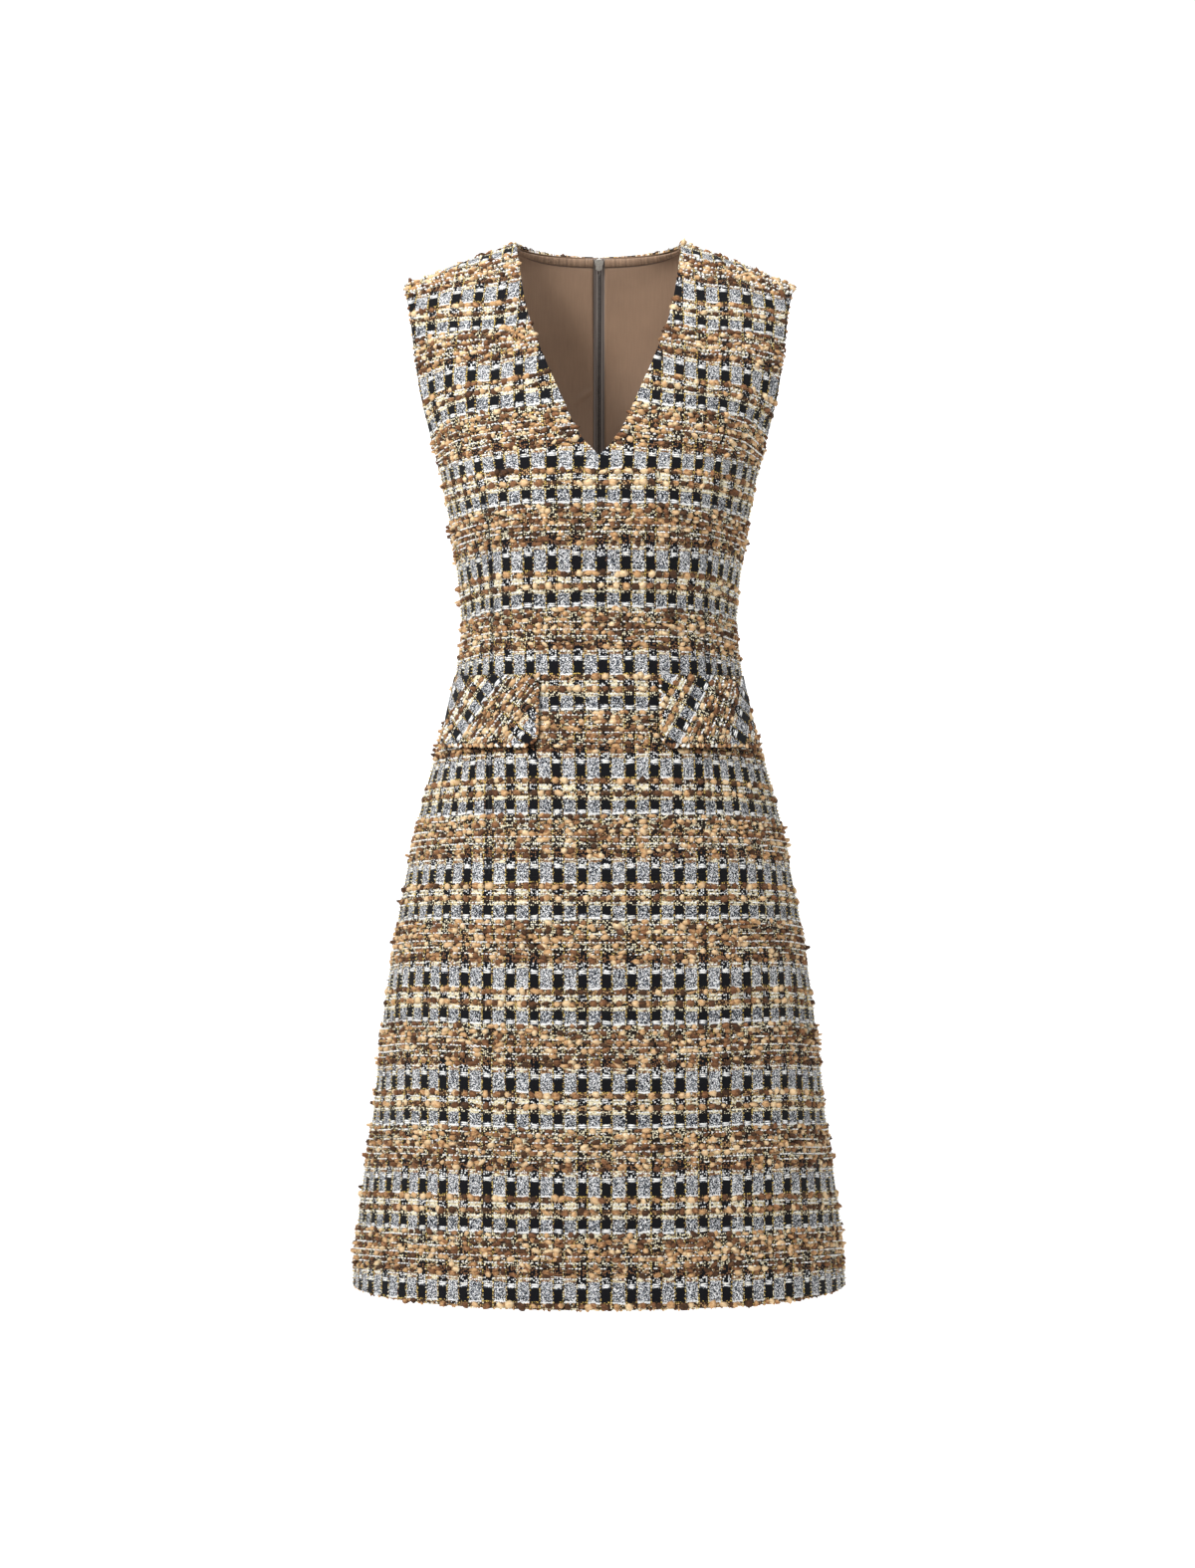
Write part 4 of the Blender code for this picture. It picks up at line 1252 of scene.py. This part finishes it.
def arm_edge(part: Lattice, rows: Array) -> Array:
    """List the outer edge's points in some rows, leaning out."""
    return edge_rows(part, rows, -1, part.points[rows, -1] - part.points[rows, -2])


def enter(cloth: Piece, node: str,
          yarns: tuple[Piece, ...] = ()) -> list[Piece]:
    """Attach a sheet of cloth and the yarn on it to the dress, and hide the frame's own piece that the cloth
    stands for.

    Args:
        cloth: The cloth.
        node: The frame's own piece that the cloth stands for.
        yarns: Pieces of yarn that stand off the cloth.

    Returns:
        The cloth and its yarn.
    """
    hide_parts(node)
    for piece in (cloth, *yarns):
        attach(piece, "dress")
    return [cloth, *yarns]


@dataclass
class FrontPanel:
    """The front, one panel with a V neck and two long darts."""

    finishes: Finishes
    lower_rows: int = 112
    upper_rows: int = 46
    half_columns: int = 46
    split: float = 460.0
    overlap: float = 8.0
    flat: tuple[float, float] = (0.600, 0.945)
    cut_area: float = 0.400

    def distances(self) -> Array:
        """The rows' distances above the hem."""
        lower = np.linspace(0.0, FORM.underarm, self.lower_rows + 1)
        upper = np.linspace(FORM.underarm, FORM.front_end - EDGE_STRIP, self.upper_rows + 1)[1:]
        return np.concatenate([lower, upper, [FORM.front_end - HALF_GAP]])

    def half(self, side: Side) -> Lattice:
        """Set out one half of the front."""
        points, weave = [], []
        for distance in self.distances():
            line = FORM.front_line(distance)
            total = line_lengths(line)[-1]
            lengths = np.append(np.linspace(0.0, total - EDGE_STRIP, self.half_columns), total - HALF_GAP)
            row = resampled(line, lengths)
            across = side.value * (line[0, 0] + lengths)
            row[:, 0] *= side.value
            place = across + chart_value(DRIFT, DRIFT_LENGTHS, distance, across)
            up = distance + chart_value(LIFT, LIFT_LENGTHS, distance, np.abs(across))
            side_gap = total - lengths if distance < FORM.underarm else np.full_like(lengths, FAR)
            top_gap = np.full_like(lengths, FORM.front_end - distance)
            # the flaps' edges count as seams, which paints the flaps' shadow on the front
            seam = nearest_seam(dart_gap(distance, across), side_gap, top_gap,
                                PocketFlap.gap(distance, lengths))
            points.append(row)
            weave.append(np.stack([place, up, seam], axis=1))
        return Lattice(np.array(points), np.array(weave), flipped=side is Side.RIGHT)

    def build(self) -> list[Piece]:
        """Make the front and the yarn that stands off it."""
        halves = [self.half(side) for side in Side]
        cloth = shell("front_cloth", halves, CLOTH, 1.0, self.finishes.tweed, self.finishes.inside)
        yarns = []
        for word, seed, low, high in (("skirt", 11, -math.inf, self.split),
                                      ("bodice", 12, self.split, math.inf)):
            bed = YarnBed(seed)
            for part in halves:
                up = part.weave[:, :, 1]
                kept = (up.max(axis=1) > low - self.overlap) & (up.min(axis=1) < high + self.overlap)
                piece = Lattice(part.points[kept], part.weave[kept], part.flipped)
                bed.cover(piece)
                if word == "skirt":
                    bed.fringe(hem_edge(piece), HEM_FRINGE)
                else:
                    above = np.nonzero(self.distances()[kept] > FORM.underarm + 4.0)[0]
                    bed.fringe(arm_edge(piece, above), ARM_FRINGE)
            yarns.append(bed.piece(f"front_{word}_yarn", self.finishes.yarn))
        warp = YarnBed(seed=13)
        for part in halves:
            warp.lay_warp(part)
        yarns.append(warp.piece("front_warp_stitches", self.finishes.warp))
        return enter(cloth, "front_panel",
                     yarns)


@dataclass
class BackPanel:
    """One half of the back, from the centre-back seam to the side."""

    side: Side
    finishes: Finishes
    lower_rows: int = 112
    upper_rows: int = 48
    columns: int = 46
    level_above: float = 717.0
    shift: float = 3.65
    flat: tuple[float, float] = (0.300, 0.960)
    cut_area: float = 0.204

    def lattice(self) -> Lattice:
        """Set out the panel."""
        points, weave = [], []
        lower = np.linspace(0.0, FORM.underarm, self.lower_rows + 1)
        upper = np.linspace(FORM.underarm, FORM.back_end - EDGE_STRIP, self.upper_rows + 1)[1:]
        corner = FORM.shoulder_top_share()
        for distance in np.concatenate([lower, upper, [FORM.back_end - HALF_GAP]]):
            line = FORM.back_line(distance)
            total = line_lengths(line)[-1]
            lengths = np.concatenate([[HALF_GAP], np.linspace(EDGE_STRIP, total - EDGE_STRIP, self.columns),
                                      [total - HALF_GAP]])
            row = resampled(line, lengths)
            # the seam opens round the zip's coil and slider at the top
            gap = np.interp(row[0, 2], (-60.0, -30.0, 0.0), (HALF_GAP, 0.75, 0.85))
            row[0] += (row[1] - row[0]) * (gap - row[0, 0]) / (row[1, 0] - row[0, 0])
            row[:, 0] *= self.side.value
            across = self.side.value * lengths
            up = distance + chart_value(LIFT, LIFT_LENGTHS, min(distance, self.level_above), np.abs(across))
            side_gap = total - lengths if distance < FORM.underarm else np.full_like(lengths, FAR)
            top_gap = np.where(lengths > corner * total, FORM.back_end - distance, FAR)
            points.append(row)
            seam = nearest_seam(lengths, side_gap, top_gap)
            weave.append(np.stack([across - self.shift, up, seam], axis=1))
        return Lattice(np.array(points), np.array(weave), flipped=self.side is Side.LEFT)

    def build(self) -> list[Piece]:
        """Make the panel and the yarn that stands off it."""
        part, word = self.lattice(), self.side.word
        cloth = shell(f"back_cloth_{word}", [part], CLOTH, 1.0, self.finishes.tweed, self.finishes.inside)
        bed = YarnBed(seed=21 + self.side.value)
        bed.cover(part, density=0.9)
        bed.fringe(hem_edge(part), HEM_FRINGE)
        bed.fringe(arm_edge(part, np.arange(self.lower_rows + 3, len(part.points))), ARM_FRINGE)
        warp = YarnBed(seed=26 + self.side.value)
        warp.lay_warp(part)
        yarns = [bed.piece(f"back_yarn_{word}", self.finishes.yarn),
                 warp.piece(f"back_warp_stitches_{word}", self.finishes.warp)]
        return enter(cloth, f"back_panel_{word}",
                     yarns)


@dataclass
class PocketFlap:
    """A pocket flap, cut on the bias so that its checks slant.

    Attributes:
        slant: The turn of its checks, in degrees.
        mark: X and Z of the middle of one of its narrow black squares.
        inner: Its length from the centre.
        lift_top: How far its top stands off the front, and lift_bottom its lower edge.
        bulge: How much further its middle stands off.
        curl: How much further its lower and inner edges stand off.
        row_shift: From the wide squares down to the narrow ones.
    """

    side: Side
    finishes: Finishes
    slant: float
    mark: tuple[float, float]
    inner: float = 52.5
    width: float = 106.0
    top_z: float = -389.5
    bottom_z: float = -451.5
    corner: float = 10.0
    lift_top: float = 0.5
    lift_bottom: float = 2.6
    bulge: float = 0.9
    curl: float = 1.1
    row_shift: float = 30.0

    @classmethod
    def gap(cls, distance: float, lengths: Array) -> Array:
        """Lengths from the flap's edge on the panel below it, and nothing under the flap, so that the sewn
        line's painted shade becomes a painted shadow along the flap's edges and under it.
        """
        low, high = cls.bottom_z - FORM.hem_z, cls.top_z - FORM.hem_z
        beside = np.maximum(np.maximum(cls.inner - lengths, lengths - cls.inner - cls.width), 0.0)
        return np.maximum(np.hypot(beside, max(low - distance, distance - high, 0.0)) - 0.5, 0.0)

    def point(self, distance: float, along: float, lift: float) -> Array:
        """A point off the front's outer face."""
        reach = 2.0
        here = np.array([along - reach, along, along + reach])
        left, middle, right = resampled(FORM.front_line(distance), here)
        below, above = (resampled(FORM.front_line(distance + step), here)[1] for step in (-reach, reach))
        out = np.cross(right - left, above - below)
        return middle + out / np.linalg.norm(out) * lift

    def lattice(self) -> Lattice:
        """Set out the flap's outer face."""
        height = self.top_z - self.bottom_z
        rounded = [self.corner * (1.0 - math.cos(math.radians(angle))) for angle in (0, 20, 40, 60, 80)]
        ups = [*rounded, *np.linspace(self.corner, height - 1.4, 11), height]
        columns = np.append(np.linspace(self.corner, self.width - 1.6, 20), self.width)
        slant = math.radians(self.slant)
        points, weave = [], []
        for up in ups:
            inset = self.corner - math.sqrt(self.corner**2 - max(self.corner - up, 0.0) ** 2)
            inner = [inset + (self.corner - inset) * part for part in (0.0, 0.25, 0.6)]
            share = up / height
            lift = 2.0 * HALF_GAP + CLOTH + self.lift_bottom + (self.lift_top - self.lift_bottom) * share
            lift += self.bulge * math.sin(math.pi * share)
            distance = self.bottom_z + up - FORM.hem_z
            places = self.inner + np.concatenate([inner, columns])
            curl = self.curl * (math.exp(-up / 7.0) + np.exp(-(places - self.inner) / 6.0))
            points.append([self.point(distance, along, lift + edge) for along, edge in zip(places, curl)])
            x = self.side.value * places - self.mark[0]
            z = self.bottom_z + up - self.mark[1]
            across = x * math.cos(slant) + z * math.sin(slant) + COLUMN_CENTRE
            rise = -x * math.sin(slant) + z * math.cos(slant) - self.row_shift
            weave.append(np.stack([across, rise, np.full_like(across, max(height - up, 0.4))], axis=1))
        points = np.array(points)
        points[:, :, 0] *= self.side.value
        return Lattice(points, np.array(weave), flipped=self.side is Side.RIGHT)

    def build(self) -> list[Piece]:
        """Make the flap and its standing yarn."""
        part, word = self.lattice(), self.side.word
        cloth = shell(f"flap_cloth_{word}", [part], CLOTH, 0.9, self.finishes.tweed, self.finishes.inside)
        bed = YarnBed(seed=31 + self.side.value, keep_off=1.0)
        bed.cover(part)
        bed.fringe(hem_edge(part), 3.0, 1.3)
        bed.fringe(edge_rows(part, slice(None), 0, part.points[:, 0] - part.points[:, 3]), 3.4, 1.15)
        yarn = bed.piece(f"flap_yarn_{word}", self.finishes.yarn)
        return enter(cloth, f"pocket_flap_{word}",
                     yarns=[yarn])


# --- lining and zip ------------------------------------------------------------------------------


# The lining's upper rows, in lengths below its neck edge, close together over the roll
NECK_ROWS = (75, 60, 48, 38, 30, 24, 19, 15, 12, 10.4, 9.4, 8.8, 8.3, 7.8, 7.3, 6.7, 5.9, 5, 4, 3, 2.1, 1.3,
             0.6, 0)


@dataclass
class BackLining:
    """One half of the back lining, rolled at the neckline.

    Attributes:
        depth: How far it lies inside the back's outer face.
        roll: Height of the rolled strip along the neck edge.
        crease: The drag line's length from the centre, distance and slant, in millimetres and degrees.
    """

    side: Side
    finishes: Finishes
    depth: float = 4.0
    thickness: float = 1.0
    inner: float = 5.4
    hem_lift: float = 30.0
    neck_drop: float = 1.0
    roll: float = 7.2
    roll_rise: float = 0.8
    groove_at: float = 7.9
    groove_depth: float = 0.35
    crease_depth: float = 1.3
    crease: tuple[float, float, float] = (14.0, 799.0, 38.0)

    def spread(self, distance: float) -> tuple[Array, Array]:
        """The lining's points on one line of the back's outer face, and their lengths along it."""
        line = FORM.back_line(distance)
        end = line_lengths(line)[-1] - HALF_GAP
        places = np.concatenate([np.linspace(self.inner, 34.0, 14), np.linspace(38.0, end, 48)])
        return resampled(line, places), places

    def creased(self, lengths: Array, distances: Array) -> Array:
        """How far the cloth stands in along a small drag line beside the zip, on the right half only."""
        if self.side is Side.LEFT:
            return np.zeros_like(lengths)
        start, level, slant = self.crease
        sin, cos = math.sin(math.radians(slant)), math.cos(math.radians(slant))
        along = (distances - level) * sin - (lengths - start) * cos
        beside = (distances - level) * cos + (lengths - start) * sin
        return self.crease_depth * np.exp(-(beside / 1.9) ** 2 - (along / 10.0) ** 2)

    def lattice(self) -> Lattice:
        """Set out the lining's outer face."""
        lower = np.concatenate([np.linspace(self.hem_lift, 780.0, 60), np.arange(782.0, 818.0, 2.0),
                                np.linspace(822.0, FORM.back_end - 90.0, 6)])
        distances = np.concatenate([lower, FORM.back_end - self.neck_drop - np.array(NECK_ROWS)])
        points, lengths, outward = [], [], []
        for distance in distances:
            row, places = self.spread(distance)
            above, below = (self.spread(min(distance + step, FORM.back_end))[0] for step in (4.0, -4.0))
            out = unit(np.cross(above - below, np.gradient(row, axis=0)))
            for _ in range(3):
                out[1:-1] = (out[:-2] + out[1:-1] * 2.0 + out[2:]) / 4.0
            points.append(row)
            lengths.append(places)
            outward.append(unit(out))
        outward = np.array(outward)
        placed = np.array(points) - outward * self.depth
        from_top = np.cumsum(np.linalg.norm(np.diff(placed[::-1], axis=0), axis=2), axis=0)
        from_top = np.concatenate([np.zeros((1, placed.shape[1])), from_top])[::-1]
        in_roll = np.clip(from_top / self.roll, 0.0, 1.0)
        groove = self.groove_depth * np.exp(-((from_top - self.groove_at) / 0.6) ** 2)
        bulge = self.roll_rise * np.sin(math.pi * in_roll**0.8) - groove
        bulge = bulge + self.creased(np.array(lengths), distances[:, None])
        placed = placed - outward * bulge[:, :, None]
        placed[:, :, 0] *= self.side.value
        across = np.array(lengths) * self.side.value
        height = np.broadcast_to(distances[:, None], across.shape)
        weave = np.stack([across, height, from_top], axis=2)
        return Lattice(placed, weave, flipped=self.side is Side.LEFT)

    def build(self) -> list[Piece]:
        """Make the lining."""
        word, satin = self.side.word, self.finishes.lining
        cloth = shell(f"lining_cloth_{word}", [self.lattice()], self.thickness, 0.0, satin, satin)
        return enter(cloth, f"back_lining_{word}")


@dataclass
class ZipSide:
    """One side of the concealed zip: its tape, and the coil's teeth along it."""

    side: Side
    finishes: Finishes
    tape_depth: float = 2.7
    tape_inner: float = 0.1
    tape_outer: float = 12.0
    tape_top: float = -8.0
    coil_depth: float = 4.0
    coil_inner: float = -0.35
    coil_outer: float = 1.5
    coil_top: float = -20.5
    coil_thick: float = 1.4
    end: float = -500.0
    pitch: float = 1.45
    crowding: float = 0.56
    lowest: float = 380.0

    def strip(self, depth: float, places: Array, heights: Array) -> Lattice:
        """Set out a strip beside the centre back at a depth inside the back."""
        distances = np.linspace(self.lowest, FORM.back_end, 260)
        grid = np.array([resampled(FORM.back_line(distance), places) for distance in distances])
        outward = Lattice(grid, np.zeros((*grid.shape[:2], 3)), flipped=True).normals
        outward[:, :, 0] = 0.0
        inside = grid - unit(outward) * depth
        middle = inside[:, 0, 2]
        rows = [np.interp(heights, middle, inside[:, column, axis])
                for column in range(len(places)) for axis in range(3)]
        points = np.array(rows).reshape(len(places), 3, len(heights)).transpose(2, 0, 1)
        points[:, :, 0] *= self.side.value
        across = np.broadcast_to(places * self.side.value, points.shape[:2])
        up = np.broadcast_to(heights[:, None], points.shape[:2])
        weave = np.stack([across, up, np.full(points.shape[:2], FAR)], axis=2)
        return Lattice(points, weave, flipped=self.side is Side.LEFT)

    def tape(self) -> list[Piece]:
        """Make the tape, with closer rows near its top end."""
        heights = np.concatenate([np.linspace(self.end, self.tape_top - 12.0, 90),
                                  np.linspace(self.tape_top - 11.0, self.tape_top, 9)])
        part = self.strip(self.tape_depth, np.linspace(self.tape_inner, self.tape_outer, 9), heights)
        word, woven = self.side.word, self.finishes.tape
        cloth = shell(f"zip_tape_cloth_{word}", [part], 1.0, 0.0, woven, woven)
        return enter(cloth, f"zip_tape_{word}")

    def coil(self) -> Piece:
        """Make the coil's teeth, one bead each."""
        heights = np.arange(self.end + 1.0, self.coil_top, self.pitch)
        heights = heights + (self.pitch / 2.0 if self.side is Side.LEFT else 0.0)
        middle = (self.coil_inner + self.coil_outer) / 2.0
        part = self.strip(self.coil_depth, np.array([middle - 0.5, middle + 0.5]), heights)
        centre = part.points.mean(axis=1)
        inward = -unit(part.normals[:, 0])
        across = np.tile((float(self.side.value), 0.0, 0.0), (len(centre), 1))
        up = unit(np.gradient(centre, axis=0))
        template, triangles = Bead(3, 8).draw()
        half_width = (self.coil_outer - self.coil_inner) / 2.0
        local = template[None] * (half_width, self.pitch * self.crowding, self.coil_thick)
        local[:, :, 2] = np.maximum(local[:, :, 2], 0.0)
        points = centre[:, None] + turned(local, across, up, inward)
        start = np.arange(len(centre))[:, None, None] * len(template)
        faces = (triangles[None] + start).reshape(-1, 3)
        if self.side is Side.RIGHT:
            faces = faces[:, ::-1]
        places = np.zeros((points.shape[0] * points.shape[1], 3))
        teeth = mesh_piece(f"zip_teeth_{self.side.word}", points.reshape(-1, 3), faces, places)
        teeth.data.materials.append(self.finishes.coil)
        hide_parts(f"zip_coil_{self.side.word}")
        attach(teeth, "dress")
        return teeth

    def build(self) -> list[Piece]:
        """Make the tape and its teeth."""
        return [*self.tape(), self.coil()]


@dataclass
class ZipHardware:
    """The slider and the pull tab, which keep the frame's shapes in a better finish."""

    finishes: Finishes

    def build(self) -> list[Piece]:
        """Dress both metal pieces."""
        made = [bpy.data.objects[node] for node in ("zip_slider", "zip_pull")]
        for slot in (slot for piece in made for slot in piece.material_slots):
            slot.material = self.finishes.metal
        return made


# --- studio --------------------------------------------------------------------------------------


@dataclass
class Studio:
    """The pale sweep, the soft lights and the camera. Sizes in metres.

    Attributes:
        paper_glow: The sweep's own light, which keeps it paler than the dress.
        air: The strength of the light from all round.
        lights: Each light's name, place, aim, size and watts.
    """

    camera_at: Spot = (-0.0013, -2.7, -0.484)
    lens: float = 69.33
    floor_z: float = -1.32
    back_y: float = 3.2
    half: float = 7.0
    curve: float = 0.8
    paper_glow: float = 0.50
    air: float = 0.29
    lights: tuple[tuple[str, Spot, Spot, float, float], ...] = (
        ("key", (-1.1, -1.4, 1.0), (0.0, 0.0, -0.2), 0.6, 48.0),
        ("fill", (0.4, -1.3, 0.8), (0.08, 0.0, -0.05), 0.4, 8.0),
        ("top", (0.0, 0.2, 1.8), (0.0, 0.0, -0.45), 1.4, 16.0),
    )

    def sweep(self) -> Piece:
        """Make the floor and backdrop as one curved sheet."""
        turn = [(self.back_y - self.curve * (1.0 - math.sin(angle)),
                 self.floor_z + self.curve * (1.0 - math.cos(angle)))
                for angle in np.linspace(0.0, math.pi / 2.0, 10)]
        profile = [(-6.0, self.floor_z)] + turn + [(self.back_y, 5.0)]
        mesh = bpy.data.meshes.new("studio_sweep")
        verts = [(x, y, z) for y, z in profile for x in (-self.half, self.half)]
        faces = [(2 * i, 2 * i + 1, 2 * i + 3, 2 * i + 2) for i in range(len(profile) - 1)]
        mesh.from_pydata(verts, [], faces)
        mesh.shade_smooth()
        floor = bpy.data.objects.new("studio_sweep", mesh)
        bpy.context.scene.collection.objects.link(floor)
        own = {"Roughness": 1.0, "Emission Strength": self.paper_glow}
        paper, _, shader = new_finish("studio_paper", own)
        shader.inputs["Base Color"].default_value = (0.9, 0.9, 0.9, 1.0)
        shader.inputs["Emission Color"].default_value = (1.0, 1.0, 1.0, 1.0)
        mesh.materials.append(paper)
        return floor

    def softbox(self, name: str, place: Spot, aim: Spot, size: float, watts: float) -> None:
        """Hang one soft square light of a size, in metres, and a strength, facing a point."""
        lamp = bpy.data.lights.new(name, "AREA")
        configure(lamp, size=size, energy=watts)
        box = bpy.data.objects.new(name, lamp)
        turn = (Vector(aim) - Vector(place)).to_track_quat("-Z", "Y").to_euler()
        configure(box, location=place, rotation_euler=turn)
        bpy.context.scene.collection.objects.link(box)

    def build(self) -> None:
        """Set up the studio."""
        self.sweep()
        world = bpy.data.worlds.new("studio_air")
        world.use_nodes = True
        air = world.node_tree.nodes["Background"]
        air.inputs["Color"].default_value = (1.0, 1.0, 1.0, 1.0)
        air.inputs["Strength"].default_value = self.air
        bpy.context.scene.world = world
        for light in self.lights:
            self.softbox(*light)
        bpy.context.scene.view_settings.view_transform = "Standard"
        lens = bpy.data.cameras.new("camera")
        configure(lens, lens=self.lens, sensor_width=36.0, clip_end=40.0)
        eye = bpy.data.objects.new("camera", lens)
        configure(eye, location=self.camera_at, rotation_euler=(math.pi / 2.0, 0.0, 0.0))
        bpy.context.scene.collection.objects.link(eye)
        bpy.context.scene.camera = eye


def main() -> None:
    """Build every piece in order, dress it and report it."""
    logging.basicConfig(level=logging.INFO, format="%(name)s: %(message)s")
    finishes = Finishes()
    makers = [FrontPanel(finishes), *(BackPanel(side, finishes) for side in Side),
              PocketFlap(Side.RIGHT, finishes, slant=51.0, mark=(-94.5, -393.0)),
              PocketFlap(Side.LEFT, finishes, slant=60.0, mark=(90.0, -396.6)),
              *(kind(side, finishes) for kind in (BackLining, ZipSide) for side in Side),
              ZipHardware(finishes)]
    for maker in makers:
        for piece in maker.build():
            LOG.info("%s: %d faces", piece.name, len(piece.data.polygons))
    Studio().build()


if __name__ == "__main__":
    main()
